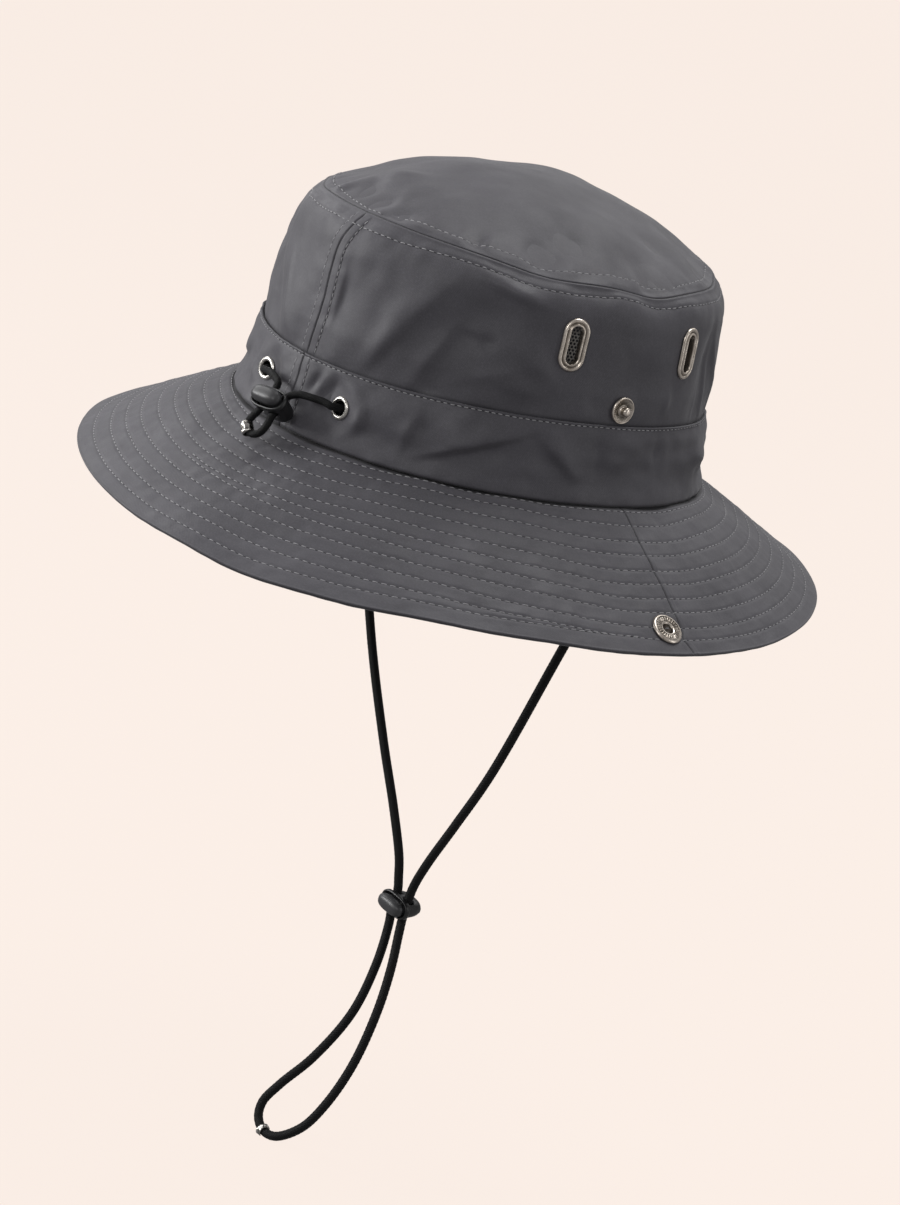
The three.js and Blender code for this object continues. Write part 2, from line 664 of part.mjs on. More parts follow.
// A sleeve round one straight step of a cord
function clip(name, points, radius) {
  const { step, length, wall } = CLIPS[name];
  const route = new THREE.CatmullRomCurve3(points, false, 'centripetal');
  const [from, to] = [step, step + 1].map((count) => route.getPointAt(count / CORD_STEPS[name]));
  const along = to.clone().sub(from).normalize();
  const turn = new THREE.Quaternion().setFromUnitVectors(new THREE.Vector3(0, 0, 1), along);
  const bore = radius + 2 * GAP;
  const ring = [
    { out: bore, up: -length / 2 },
    { out: bore + wall, up: -length / 2 },
    { out: bore + wall, up: length / 2 },
    { out: bore, up: length / 2 },
  ];
  const matrix = new THREE.Matrix4().makeRotationFromQuaternion(turn).setPosition(from.lerp(to, 0.5));
  add(`${name}_cord_clip`, 'silver', turned(ring, 12), matrix);
}

function drawcord() {
  const [rightEyelet, leftEyelet] = REAR_EYELETS;
  const start = eyeletRun(rightEyelet, 1);
  const end = eyeletRun(leftEyelet, -1).reverse();
  const strands = [...DRAWCORD_RIGHT.map(vector), ...lockRun('rear', 1), ...DRAWCORD_LOOP.map(vector)];
  const back = [...lockRun('rear', -1).reverse(), ...DRAWCORD_LEFT.map(vector)];
  const route = [...start, ...strands, ...back, ...end];
  add('rear_drawcord', 'cord', tube(route, DRAWCORD_RADIUS, CORD_STEPS.rear));
  clip('rear', route, DRAWCORD_RADIUS);
  const ring = channelRun(rightEyelet.angle + 9.4, leftEyelet.angle + 360 - 9.4, DRAWCORD_LEVEL);
  add('rear_drawcord_inner', 'cord', tube(ring, DRAWCORD_RADIUS, CORD_STEPS.rearInner));
}

function chinCord() {
  const down = [...CHIN_CORD_RIGHT.map(vector), ...lockRun('chin', 1), ...CHIN_CORD_LOOP.map(vector)];
  const up = [...lockRun('chin', -1).reverse(), ...CHIN_CORD_LEFT.map(vector)];
  const route = [...down, ...up];
  add('chin_cord', 'cord', tube(route, CHIN_CORD_RADIUS, CORD_STEPS.chin));
  clip('chin', route, CHIN_CORD_RADIUS);
  const right = CHIN_CORD_TURN.map(vector).reverse();
  const left = CHIN_CORD_TURN.map(([x, y, z]) => new THREE.Vector3(-x, y, z));
  const run = [...right, ...channelRun(179, 1, CHIN_CORD_LEVEL), ...left];
  add('chin_cord_inner', 'cord', tube(run, CHIN_CORD_RADIUS, CORD_STEPS.chinInner));
}

function lockRing(row) {
  return Array.from({ length: LOCK_SIDES }, (_, i) => {
    const turn = (2 * Math.PI * (i + 0.5)) / LOCK_SIDES;
    const square = (value) => Math.sign(value) * Math.abs(value) ** 0.75;
    const x = (row.width / 2) * square(Math.cos(turn));
    const y = (row.depth / 2) * square(Math.sin(turn));
    return new THREE.Vector3(x, y, row.height);
  });
}

function lockSolid(rows) {
  const low = new THREE.Vector3(0, 0, rows[0].height);
  const high = new THREE.Vector3(0, 0, rows[rows.length - 1].height);
  return skin([[low], ...rows.map(lockRing), [high]]);
}

function lockParts(cordRadius) {
  const bore = lockSolid([
    { height: -6.2, width: 14.4, depth: 6 },
    { height: 2, width: 14.4, depth: 6 },
    { height: 2, width: 15.6, depth: 7.8 },
    { height: 5, width: 15.6, depth: 7.8 },
  ]);
  const hole = roundPlug(cordRadius + 0.9, -8, 8, 8).rotateX(Math.PI / 2);
  const holes = [-1, 1].map((side) => hole.clone().translate((side * LOCK_CORD_SPACING) / 2, 0, 0));
  const halfSlot = LOCK_CORD_SPACING / 2 + cordRadius + GAP;
  const low = -cordRadius - GAP;
  const high = cordRadius + GAP + LOCK_TRAVEL;
  const slot = new THREE.BoxGeometry(2 * halfSlot, 16, high - low).translate(0, 0, (low + high) / 2);
  const body = cut(lockSolid(LOCK_BODY), [bore, ...holes]);
  return { body, button: cut(lockSolid(LOCK_BUTTON), [closedGeometry(slot)]) };
}

function lockSeat(name) {
  const push = vector(LOCKS[name].push).normalize();
  const across = push.clone().cross(vector(LOCKS[name].long)).normalize();
  const matrix = new THREE.Matrix4().makeBasis(across.clone().cross(push), across, push);
  return matrix.setPosition(vector(LOCKS[name].centre));
}

function cordLocks() {
  const radii = { rear: DRAWCORD_RADIUS, chin: CHIN_CORD_RADIUS };
  for (const name of Object.keys(LOCKS)) {
    const matrix = lockSeat(name);
    const { body, button } = lockParts(radii[name]);
    add(`${name}_lock_body`, 'plastic', body, matrix);
    add(`${name}_lock_button`, 'plastic', button, matrix);
  }
}

crownTip();
crownWall();
crownBand();
brim();
vents();
snaps();
rearEyelets();
drawcord();
chinCord();
cordLocks();

export default hat;
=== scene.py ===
# Angler hat: cloth, stitching, metal fittings, cord locks and braided cords round the hat's solids.
# Shapes are worked out in millimetres and turned into metres where a mesh is made.
import math

import bpy
import numpy as np
from mathutils import Matrix, Vector


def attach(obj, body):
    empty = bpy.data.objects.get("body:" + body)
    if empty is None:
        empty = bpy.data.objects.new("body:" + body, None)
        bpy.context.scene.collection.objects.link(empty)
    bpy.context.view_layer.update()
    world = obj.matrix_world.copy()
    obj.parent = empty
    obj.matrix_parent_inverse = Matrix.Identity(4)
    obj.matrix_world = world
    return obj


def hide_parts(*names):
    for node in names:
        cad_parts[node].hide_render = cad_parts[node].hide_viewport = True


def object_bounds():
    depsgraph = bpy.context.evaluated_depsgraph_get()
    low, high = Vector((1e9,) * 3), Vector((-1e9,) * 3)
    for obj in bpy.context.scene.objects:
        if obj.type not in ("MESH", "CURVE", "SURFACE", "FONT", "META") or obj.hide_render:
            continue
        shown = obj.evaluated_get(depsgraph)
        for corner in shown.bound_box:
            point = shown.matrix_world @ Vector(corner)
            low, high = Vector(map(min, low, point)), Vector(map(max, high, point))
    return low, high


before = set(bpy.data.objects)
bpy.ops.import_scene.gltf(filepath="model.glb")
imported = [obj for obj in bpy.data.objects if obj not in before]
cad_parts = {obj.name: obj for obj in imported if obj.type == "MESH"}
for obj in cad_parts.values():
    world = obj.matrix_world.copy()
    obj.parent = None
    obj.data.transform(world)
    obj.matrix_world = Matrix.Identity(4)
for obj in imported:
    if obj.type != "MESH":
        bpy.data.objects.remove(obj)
CAD_BOX = [list(corner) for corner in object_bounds()]
MM = 0.001

# Driving dimensions of the hat
HALF_WIDTH = 95.7
HALF_LENGTH = 101.7
BAND_HEIGHT = 31.2
CROWN_HEIGHT = 86.0
TIP_HEIGHT = 25.0
BRIM_WIDTH = 68.8
COLLAR_WIDTH = 7.0
CLOTH = 1.2
BRIM_CLOTH = 2.0
CORD_LEVEL = 16.4
DRAWCORD_RADIUS = 1.5
CHIN_CORD_RADIUS = 2.0

# Tables by height: how far the outline shrinks, how far the wall steps in, and how sewn lines rise
PROFILE = [(0, 1), (8.4, 0.967), (15.8, 0.958), (29.4, 0.952), (52.5, 0.935), (68, 0.9245), (75, 0.9185),
           (80.5, 0.896), (CROWN_HEIGHT, 0.84)]
WALL_INSET = [(0, 1.9), (4, 5.5), (7, 6.1), (20, 6), (25, 4), (29.5, 1.7), (34, 0.9), (43, 0)]
LIFT_SIDES = [(0, 0.97), (BAND_HEIGHT, 1.84), (CROWN_HEIGHT, -1.32)]
LIFT_BACK = [(0, 0), (BAND_HEIGHT, 0), (CROWN_HEIGHT, 0.86)]

# Dips of the top seam: angle, width, drop
SEAM_DIPS = [(20, 13, 1.2), (55, 11, 1), (148, 12, 1.7), (182, 10, 2.2), (224, 12, 1.2), (262, 12, 1.6),
             (305, 11, 1.4), (340, 12, 1.8)]

# Broad hollows pressed into the crown: angle, width, depth, and the heights between which they deepen
HOLLOWS = [(226, 24, 3.2, 16, 46), (226, 24, -0.9, 66, 84), (46, 20, 2.2, 54, 76)]

# Slow waves of the brim: angle, width, and how much further its edge drops
BRIM_WAVES = [(52, 32, -2.9), (112, 14, 1.6), (146, 15, -1.6), (182, 16, 0.8), (238, 27, -2.7)]

# Soft folds: angle, height or reach, lean, length, width, depth (a negative depth stands out)
WALL_FOLDS = [
    (73, 48, -41, 24, 7, -1.3), (64, 50, -30, 20, 8, 1.6), (100, 58, -4, 14, 8, 1.5),
    (120, 62, 46, 22, 8, -1.4), (133, 58, 40, 24, 10, 2.2), (178, 52, 8, 12, 9, 1.2),
    (208, 50, 8, 22, 7, 1.6), (219, 56, -12, 20, 8, -1.2), (236, 58, 20, 20, 9, 1.6),
    (262, 52, -25, 22, 10, 2), (281, 62, 15, 16, 8, -1.4), (303, 54, 35, 20, 9, 1.8),
    (326, 50, -20, 18, 8, 1.4), (2, 52, 5, 12, 9, 1.2), (43, 58, 25, 20, 9, 1.7),
]
BAND_FOLDS = [
    (66, 12, 10, 12, 8, -0.8), (118, 18, 112, 12, 7, -1), (132, 20, 67, 16, 6, -1.2),
    (143, 8, 75, 18, 6, -1.1), (166, 18, 100, 14, 7, -0.9), (209, 16, 0, 12, 7, -1.1),
    (238, 15, 70, 16, 7, -1.1), (281, 16, 100, 18, 7, -1.2), (322, 14, 60, 14, 7, -1),
    (12, 17, 105, 16, 7, -1),
]
TIP_FOLDS = [
    (86, 0.9, 15, 9, 7, 1.2), (98, 0.88, 10, 9, 6, 1), (78, 0.7, 90, 20, 6, -1),
    (150, 0.8, -38, 14, 9, 2), (198, 0.78, -46, 12, 9, 1.7), (232, 0.84, 30, 12, 9, 1.6),
    (271, 0.78, -20, 14, 10, 1.8), (318, 0.82, 35, 12, 9, 1.6), (5, 0.8, -30, 13, 9, 1.6),
    (44, 0.86, 25, 10, 8, 1.3),
]

# Sharper creases of the wall, in the same terms
WALL_CREASES = [
    (212, 44, -4, 16, 1.6, -0.7), (218, 50, -22, 20, 1.8, -0.6), (206, 42, 6, 12, 1.5, -0.5),
    (226, 52, -28, 22, 2, -0.6), (140, 44, 70, 14, 2.4, -0.4), (250, 50, 20, 20, 2.4, -0.6),
    (290, 52, -30, 18, 2.4, -0.6), (318, 48, 15, 16, 2.2, -0.6), (345, 50, -25, 16, 2.2, -0.5),
    (30, 52, 30, 18, 2.4, -0.6), (52, 48, -15, 16, 2.2, -0.6),
]

# Ridges with one gentle and one steep side: angle, height or reach, lean, length, the two widths, rise
RIDGE_STRENGTH = 1.5
WALL_RIDGES = [
    (76, 49, 150, 13, 1.3, 1.3, 0.5), (100, 58, -4, 13, 8, 8, 1.1), (97.5, 56, 0, 9, 1.6, 5, -0.8),
    (119, 60, 38, 22, 7, 3, 0.7), (125.5, 46, 25, 13, 5, 2.6, 1.3), (134, 59, 95, 6, 6, 2, 0.55),
    (142, 77.5, 98, 11, 3.5, 2.4, 1.6), (137.5, 55.5, 70, 3, 2.5, 2.5, -0.6), (151, 50, 127, 12, 6, 4, 1.1),
    (148, 41, 97, 9, 4, 3, 0.7), (113, 44, 35, 10, 5, 2.4, 0.7), (189.5, 43, 0, 6, 1.8, 2.4, 0.5),
    (199, 42, 5, 8, 1.6, 1.6, 0.7), (60, 60, 30, 14, 5, 2.5, 0.5),
    (233, 56, 40, 18, 8, 3, 1.3), (262, 50, 120, 16, 7, 3, 1.2), (300, 58, 35, 18, 8, 3, 1.3),
    (328, 46, 110, 14, 6, 3, 1.1), (22, 42, 60, 12, 6, 3, 0.9), (45, 60, 40, 16, 7, 3, 1.1),
]
BAND_RIDGES = [
    (140, 16.5, 67, 17, 6, 2, 2), (161, 17, 129, 10, 5, 2.6, 1.6), (170.5, 19, 175, 8, 3, 3, -0.7),
    (125, 16.5, 12, 7, 4, 1.8, 0.9), (112, 14, 20, 5, 3, 3, 0.7), (97, 23, 25, 5, 2.2, 2.2, -0.6),
    (103, 22, 5, 5, 2, 3, -0.6), (178, 24, 92, 9, 5, 4, 0.9), (190, 20, 165, 8, 3, 3, -0.6),
    (55, 15, 70, 10, 6, 2.5, 1), (214, 16, 110, 12, 6, 3, 1.2), (244, 18, 70, 13, 6, 2.5, 1.4),
    (286, 15, 115, 12, 6, 3, 1.4), (327, 17, 70, 12, 6, 2.5, 1.2), (15, 16, 112, 12, 6, 3, 1.2),
]
TIP_RIDGES = [
    (80, 0.865, 48, 10, 3, 5, -0.8), (77, 0.73, 139, 12, 3, 4, 0.5), (94, 0.9, 10, 4.5, 3, 4, -0.6),
    (97, 0.865, 35, 7, 2.4, 2.4, 0.35), (145, 0.86, 0, 6, 5, 6, -0.8), (154, 0.72, 15, 8, 5, 8, -0.9),
    (160, 0.82, 5, 8, 5, 7, -0.5), (203, 0.715, 10, 8, 5, 7, -0.9), (211, 0.92, 0, 4, 6, 6, -0.6),
    (186, 0.86, 0, 6, 5, 6, -0.4), (240, 0.8, 10, 9, 5, 8, -0.8), (290, 0.84, 20, 9, 5, 8, -0.9),
    (335, 0.8, 10, 9, 5, 8, -0.8), (30, 0.84, 15, 8, 5, 7, -0.8),
]

# Places of the fittings, as an angle and a height or a reach
VENTS = {
    "right_rear": (157.9, 62), "right_front": (194.2, 62.7),
    "left_rear": (22.1, 62), "left_front": (-14.2, 62.7),
}
VENT_HALF_SLOT = 5.0
VENT_SLOT_RADIUS = 2.45
STUDS = {"right": (175, 37.8), "left": (5, 37.8)}
SOCKETS = {"right": (176.8, 0.83), "left": (3.2, 0.83)}
EYELETS = {"right": (106.4, CORD_LEVEL), "left": (76.5, CORD_LEVEL + 0.4)}
EYELET_POCKETS = [(110, 9, 2), (73, 9, 2)]
CHIN_SLOT_ANGLES = (186, -6)
CHIN_SLOT_LEVEL = 6.4

# Cord locks: centre, push axis and long axis
LOCK_CORD_SPACING = 8.0
LOCK_RUN = 4.8
LOCKS = {
    "rear": ((-4.5, 109.3, 8.8), (0, 0.777, 0.629), (-0.995, -0.066, 0.081)),
    "chin": ((-6, -25.1, -215.3), (0, 1, 0), (-0.998, 0, -0.07)),
}

# Drawcord's bend out through an eyelet: along the band away from the lock, and off its face
EYELET_RUN = [(13, -4.3), (8.6, -4.8), (5.4, -4.6), (2.9, -3.6), (1.1, -1.95), (-0.1, -0.3), (-1.1, 1.3),
              (-2.5, 2.7)]
DRAWCORD_RIGHT = [(-20.8, 98.3, 15.7), (-16, 101, 15.7), (-11.4, 103.2, 15.2)]
DRAWCORD_LOOP = [
    (-9.5, 113.7, 2.2), (-9, 114.9, -0.6), (-6.9, 115.8, -2.9), (-3.8, 116.2, -3.7), (-1, 116, -2.6),
    (0.3, 115.1, -0.2), (-0.3, 114, 2.4),
]
DRAWCORD_LEFT = [(2.4, 103.5, 15.4), (7.8, 101.8, 16.5), (13.4, 99.6, 16.3)]

# Chin cord: its right strand, its loop beyond the lock, and its left strand
CHIN_CORD_RIGHT = [
    (-85.3, -13.6, 5.4), (-84.7, -14.6, 3.3), (-84.3, -15.3, 0.6), (-83.6, -16.4, -8), (-79.3, -18.4, -32),
    (-65.7, -19.7, -70.5), (-42.1, -22.3, -137.4), (-27.8, -23.5, -168.2), (-16.4, -24.7, -191.2),
    (-11.5, -25.2, -203.6),
]
CHIN_CORD_LOOP = [
    (-11.1, -23.9, -226), (-18.6, -17.4, -240), (-25.3, -9.3, -257), (-28.1, -0.6, -279.7),
    (-26.1, 7.3, -299.1), (-19.5, 11.6, -313.3), (-10, 16.3, -321.9), (-2.3, 17.1, -322.8),
    (4, 15.8, -319.6), (6.6, 13.1, -314.1), (4.2, 8, -305), (-5.4, 1.6, -287.3), (-12.3, -7.7, -263),
    (-9.9, -16.6, -241.7), (-3.1, -24.4, -226),
]
CHIN_CORD_LEFT = [
    (-1.1, -24.8, -204.5), (1.4, -24.4, -196), (11, -23.3, -177.6), (26.7, -21.9, -151.9), (50, -21, -112),
    (73.5, -19.1, -57.5), (80.2, -18.3, -32), (83.6, -16.4, -8), (84.3, -15.3, 0.6), (84.7, -14.6, 3.3),
    (85.3, -13.6, 5.4),
]
CHIN_CORD_TURN = [(-89.3, -5.6, 7.2), (-87.6, -9.2, 7.2), (-86.6, -11.2, 7), (-86, -12.4, 6.5)]
CORD_INSET = 3.5

# Clips on the cords: their place as a share of the cord, their length, their wall, and their crinkles' seed
CLIPS = {"rear": (18.5 / 36, 4.4, 0.75, 61), "chin": (0.5, 2.2, 0.6, 62)}

# Rows of stitches round the brim, as reaches from seam to edge at these angles: circles, then one spiral
CIRCLE_ANGLES = (60, 90, 110, 130, 150, 180, 210, 300)
BRIM_CIRCLES = [
    (0.012, 0.055, 0.043, 0.012, 0.012, 0.024, 0.03, 0.03),
    (0.083, 0.133, 0.119, 0.073, 0.072, 0.124, 0.102, 0.105),
    (0.186, 0.226, 0.21, 0.162, 0.171, 0.236, 0.214, 0.205),
    (0.286, 0.317, 0.295, 0.255, 0.272, 0.329, 0.312, 0.305),
    (0.371, 0.405, 0.376, 0.348, 0.38, 0.436, 0.417, 0.4),
]
SPIRAL_TURNS = [
    (0.469, 0.476, 0.445, 0.435, 0.476, 0.526, 0.507, 0.49),
    (0.476, 0.505, 0.51, 0.518, 0.567, 0.624, 0.605, 0.59),
    (0.586, 0.605, 0.598, 0.612, 0.662, 0.717, 0.705, 0.695),
    (0.683, 0.702, 0.693, 0.708, 0.767, 0.821, 0.805, 0.79),
    (0.781, 0.8, 0.788, 0.807, 0.85, 0.9, 0.898, 0.892),
    (0.89, 0.9, 0.89, 0.884, 0.889, 0.881),
]

# The spiral starts at 83 degrees and ends 172 degrees into its sixth turn
SPIRAL_START = 83
SPIRAL_END = 1972
BRIM_SPIRAL = [(angle + 360 * turn, reach) for turn, reaches in enumerate(SPIRAL_TURNS)
               for angle, reach in zip(CIRCLE_ANGLES, reaches)]
BRIM_SPIRAL[0] = (SPIRAL_START, SPIRAL_TURNS[0][0])
BRIM_SPIRAL[-1] = (SPIRAL_END, SPIRAL_TURNS[-1][-1])

# Distance from stitch to stitch in the brim's rows
STITCH_PITCH = 3.5

# Rows of the crown: their heights on the wall and their distances in from the top seam on the tip
WALL_ROW = [
    (-60, 81.5), (60, 81.4), (100, 81.2), (120, 82.2), (130, 82.5), (150, 81.8), (165, 82.7), (178, 83),
    (200, 82), (290, 81.5), (420, 81.4), (450, 81.2),
]
TIP_ROW = [
    (101, 4.7), (106, 5.2), (125, 4.9), (136, 5.7), (147, 4.3), (162, 6.2), (175, 6.6), (183, 4.7),
    (205, 4.5), (300, 4.4), (420, 4), (435, 3.6), (450, 2.3), (459.5, 1.5),
]
BAND_ROW = BAND_HEIGHT - 1.1

# Seams: where they lie, how far the back seam drifts by height, and the rows of stitches beside it
BACK_SEAM = 90.0
SIDE_SEAMS = (0.0, 180.0)
FIRST_ROW = (4.0, 4.2)
BACK_SEAM_DRIFT = [
    (0, 1.4), (20, 1.4), (31, 1.1), (36.5, 1.6), (42, 2.3), (53, 2.7), (64, 2.2), (73, 2.5), (80, 4.5),
    (86, 4.9),
]

# Distance down the wall from the top seam, along the cloth
STRAIGHT_BELOW = 72
TOP_SEAM_DROP = [(STRAIGHT_BELOW, 15.6), (75, 12.2), (80.5, 6.4), (83, 3.7), (CROWN_HEIGHT, 0)]

# The drawn cord tips the two eyelets towards the lock between them, and the band with them
EYELET_LEANS = {"right": -14.0, "left": 14.0}

# Numbers for the fine shape of the cloth
FULL_TURN = 2 * math.pi
TURN_STEP = 0.002
RIPPLE_WAVES = 14
TIP_RADIUS = 0.84 * HALF_WIDTH
TIP_SPAN = 95.0
BRIM_GROWTH = 58.0
BRIM_MIDDLE = HALF_WIDTH + BRIM_GROWTH / 2


# Tables, distances and smooth steps
def read(rows, at):
    """A smooth curve through the rows of a table, which stays at its end values beyond them."""
    heights, values = np.array(rows, float).T
    wide_heights = np.pad(heights, 1, "edge")
    wide_values = np.pad(values, 1, "edge")
    slopes = (wide_values[2:] - wide_values[:-2]) / (wide_heights[2:] - wide_heights[:-2])
    at = np.clip(at, heights[0], heights[-1])
    i = np.clip(np.searchsorted(heights, at, side="right") - 1, 0, len(rows) - 2)
    step = heights[i + 1] - heights[i]
    s = (at - heights[i]) / step
    ease = s * s * (3 - 2 * s) * (values[i + 1] - values[i])
    return values[i] + ease + s * (1 - s) ** 2 * step * slopes[i] + s * s * (s - 1) * step * slopes[i + 1]


def turn_to(theta, angle):
    return (np.degrees(theta) - angle + 180) % 360 - 180


def angle_from(theta, start):
    return (np.degrees(theta) - start) % 360 + start


def step_up(x, low, high):
    s = np.clip((x - low) / (high - low), 0, 1)
    return s * s * (3 - 2 * s)


def bell(x, width):
    return np.exp(-((x / width) ** 2))


def unit(v):
    return v / np.maximum(np.linalg.norm(v, axis=-1, keepdims=True), 1e-9)


def bumps_around(theta, rows):
    return sum(deep * bell(turn_to(theta, angle), width) for angle, width, deep in rows)


def distances(points):
    return np.append(0, np.cumsum(np.linalg.norm(np.diff(points, axis=0), axis=1)))


def at_distance(points, gone, at):
    return np.stack([np.interp(at, gone, points[:, k]) for k in range(3)], -1)


def random_waves(size, seed):
    random = np.random.default_rng(seed)
    for _ in range(RIPPLE_WAVES):
        heading = random.uniform(0, FULL_TURN)
        length = size * random.uniform(0.7, 1.6) * 2
        yield heading, length, random.uniform(0, FULL_TURN)


def ripple(x, y, size, seed):
    """A smooth random field over a flat sheet, about -1 to 1, with bumps of the given size."""
    total = 0
    for heading, length, phase in random_waves(size, seed):
        across = x * math.cos(heading) + y * math.sin(heading)
        total = total + np.sin(FULL_TURN * across / length + phase)
    return total / math.sqrt(RIPPLE_WAVES)


def around_ripple(theta, y, size, seed, radius=HALF_WIDTH):
    """The same field wrapped round the head, so that it meets itself."""
    total = 0
    for heading, length, phase in random_waves(size, seed):
        turns = round(FULL_TURN * radius * math.cos(heading) / length)
        total = total + np.sin(turns * theta + FULL_TURN * y * math.sin(heading) / length + phase)
    return total / math.sqrt(RIPPLE_WAVES)


# Surfaces of the sewn pieces, the same as the hat's solids have
def outwards(theta):
    return unit(np.stack([np.cos(theta) / HALF_WIDTH, np.sin(theta) / HALF_LENGTH, 0 * theta], -1))


def outline(theta, scale, inset, z):
    theta, scale, inset, z = np.broadcast_arrays(theta, scale, inset, z)
    oval = np.stack([HALF_WIDTH * scale * np.cos(theta), HALF_LENGTH * scale * np.sin(theta), z], -1)
    return oval - inset[..., None] * outwards(theta)


def lift(theta, height):
    return read(LIFT_SIDES, height) * np.cos(2 * theta) + read(LIFT_BACK, height) * np.sin(theta)


def hollow(theta, height):
    depth = 0
    for angle, width, deep, low, high in HOLLOWS:
        depth = depth + deep * bell(turn_to(theta, angle), width) * step_up(height, low, high)
    return depth


def along_and_across(theta, place, angle, middle, lean, span, radius):
    """Distances from the middle of a fold, along it and across it."""
    side = np.radians(turn_to(theta, angle)) * radius
    rise = (place - middle) * span
    turn = math.radians(lean)
    along = side * math.sin(turn) + rise * math.cos(turn)
    return along, side * math.cos(turn) - rise * math.sin(turn)


def fold_depth(folds, theta, place, span=1, radius=HALF_WIDTH):
    depth = 0
    for *middle, length, width, deep in folds:
        along, across = along_and_across(theta, place, *middle, span, radius)
        depth = depth + deep * bell(along, length) * bell(across, width)
    return depth


def ridge_height(ridges, theta, place, span=1, radius=HALF_WIDTH):
    height = 0
    for *middle, length, before, after, rise in ridges:
        along, across = along_and_across(theta, place, *middle, span, radius)
        height = height + rise * bell(along, length) * bell(across, np.where(across < 0, before, after))
    return RIDGE_STRENGTH * height


def wall_inset(theta, height):
    pocket = bumps_around(theta, EYELET_POCKETS) * np.exp(-(((height - CORD_LEVEL) / 8) ** 4))
    return read(WALL_INSET, height) + pocket


def wall_point(theta, height, inset):
    above = step_up(height, BAND_HEIGHT - 4, BAND_HEIGHT + 6)
    fold = above * fold_depth(WALL_FOLDS, theta, height) + hollow(theta, height)
    dip = bumps_around(theta, SEAM_DIPS) * step_up(height, CROWN_HEIGHT - 30, CROWN_HEIGHT)
    return outline(theta, read(PROFILE, height), inset + fold, height + lift(theta, height) - dip)


def wall_face(theta, height):
    return wall_point(theta, height, wall_inset(theta, height))


def band_point(theta, height, inset=0.0):
    fold = fold_depth(BAND_FOLDS, theta, height) + hollow(theta, height)
    return outline(theta, read(PROFILE, height), inset + fold, height + lift(theta, height))


def tip_point(theta, reach, cloth=0.0):
    scale = read(PROFILE, CROWN_HEIGHT)
    fold = fold_depth(TIP_FOLDS, theta, reach, TIP_RADIUS, TIP_RADIUS * reach)
    dome = (TIP_HEIGHT - cloth) * (1 - reach ** 2) - fold * (1 - reach ** 8)
    edge = lift(theta, CROWN_HEIGHT) * reach - bumps_around(theta, SEAM_DIPS) * reach ** 6
    inset = cloth * 1.2 * reach + hollow(theta, CROWN_HEIGHT) * reach ** 2
    return outline(theta, scale * reach, inset, CROWN_HEIGHT + dome + edge)


def brim_drop(theta):
    once = 4.25 * np.sin(theta) - 2.68 * np.cos(theta)
    return 35.23 + once - 0.12 * np.cos(2 * theta) + 1.52 * np.sin(2 * theta)


def brim_point(theta, reach, below=0.0):
    theta, reach, below = np.broadcast_arrays(theta, reach, below)
    drop = brim_drop(theta)
    width = np.sqrt(BRIM_WIDTH ** 2 - drop ** 2)
    away = outwards(theta)
    down = np.array([0, 0, -1.0])
    across = away * (-drop / BRIM_WIDTH)[..., None] + down * (width / BRIM_WIDTH)[..., None]
    lean = step_up(reach, 0, 0.15)[..., None]
    under = (down + (across - down) * lean) * below[..., None]
    fall = (drop + bumps_around(theta, BRIM_WAVES)) * reach
    seam = outline(theta, 1, 0, lift(theta, 0))
    return seam + away * (width * reach)[..., None] + down * fall[..., None] + under


def steps(point, theta, place, facing, nudge):
    side = point(theta + TURN_STEP, place) - point(theta - TURN_STEP, place)
    up = facing * (point(theta, place + nudge) - point(theta, place - nudge))
    return unit(side), unit(up)


def placed(across, up, off, at):
    matrix = np.identity(4)
    matrix[:3] = np.stack([across, up, off, at], -1)
    return matrix


def seat(point, angle, place, facing=1, nudge=0.02):
    """A place on the cloth: Z stands off the surface, and Y runs up or inwards along it."""
    theta = np.array(math.radians(angle))
    side, up = steps(point, theta, place, facing, nudge)
    off = unit(np.cross(side, up))
    return placed(np.cross(up, off), up, off, point(theta, place))


def moved(points, matrix):
    return np.asarray(points, float) @ matrix[:3, :3].T + matrix[:3, 3]


def tipped(matrix, lean):
    cos, sin = math.cos(math.radians(lean)), math.sin(math.radians(lean))
    return matrix @ np.array([[cos, 0, sin, 0], [0, 1, 0, 0], [-sin, 0, cos, 0], [0, 0, 0, 1]])


WALL_SEATS = {name: seat(wall_face, *place) for name, place in VENTS.items()}
STUD_SEATS = {name: seat(wall_face, *place) for name, place in STUDS.items()}
SOCKET_SEATS = {name: seat(brim_point, *place, facing=-1, nudge=0.0002) for name, place in SOCKETS.items()}
EYELET_SEATS = {name: seat(band_point, *place) for name, place in EYELETS.items()}
TIPPED_EYELETS = {name: tipped(EYELET_SEATS[name], lean) for name, lean in EYELET_LEANS.items()}


# How far the cloth stays flat round a fitting that is pressed into it
def calm(points):
    still = np.ones(points.shape[:-1])
    for matrix in WALL_SEATS.values():
        local = (points - matrix[:3, 3]) @ matrix[:3, :3]
        along = np.maximum(np.abs(local[..., 1]) - VENT_HALF_SLOT, 0)
        still = still * step_up(np.hypot(local[..., 0], along), 5.5, 11)
    for seats, near, far in ((STUD_SEATS, 5, 10), (SOCKET_SEATS, 6, 10), (EYELET_SEATS, 5.5, 12)):
        for matrix in seats.values():
            still = still * step_up(np.linalg.norm(points - matrix[:3, 3], axis=-1), near, far)
    return still


def eyelet_lean(points):
    rise = 0
    for name, lean in EYELET_LEANS.items():
        from_eyelet = points - EYELET_SEATS[name][:3, 3]
        beside = from_eyelet @ EYELET_SEATS[name][:3, 0]
        near = step_up(14 - np.linalg.norm(from_eyelet, axis=-1), 0, 8)
        rise = rise - math.tan(math.radians(lean)) * beside * near
    return rise


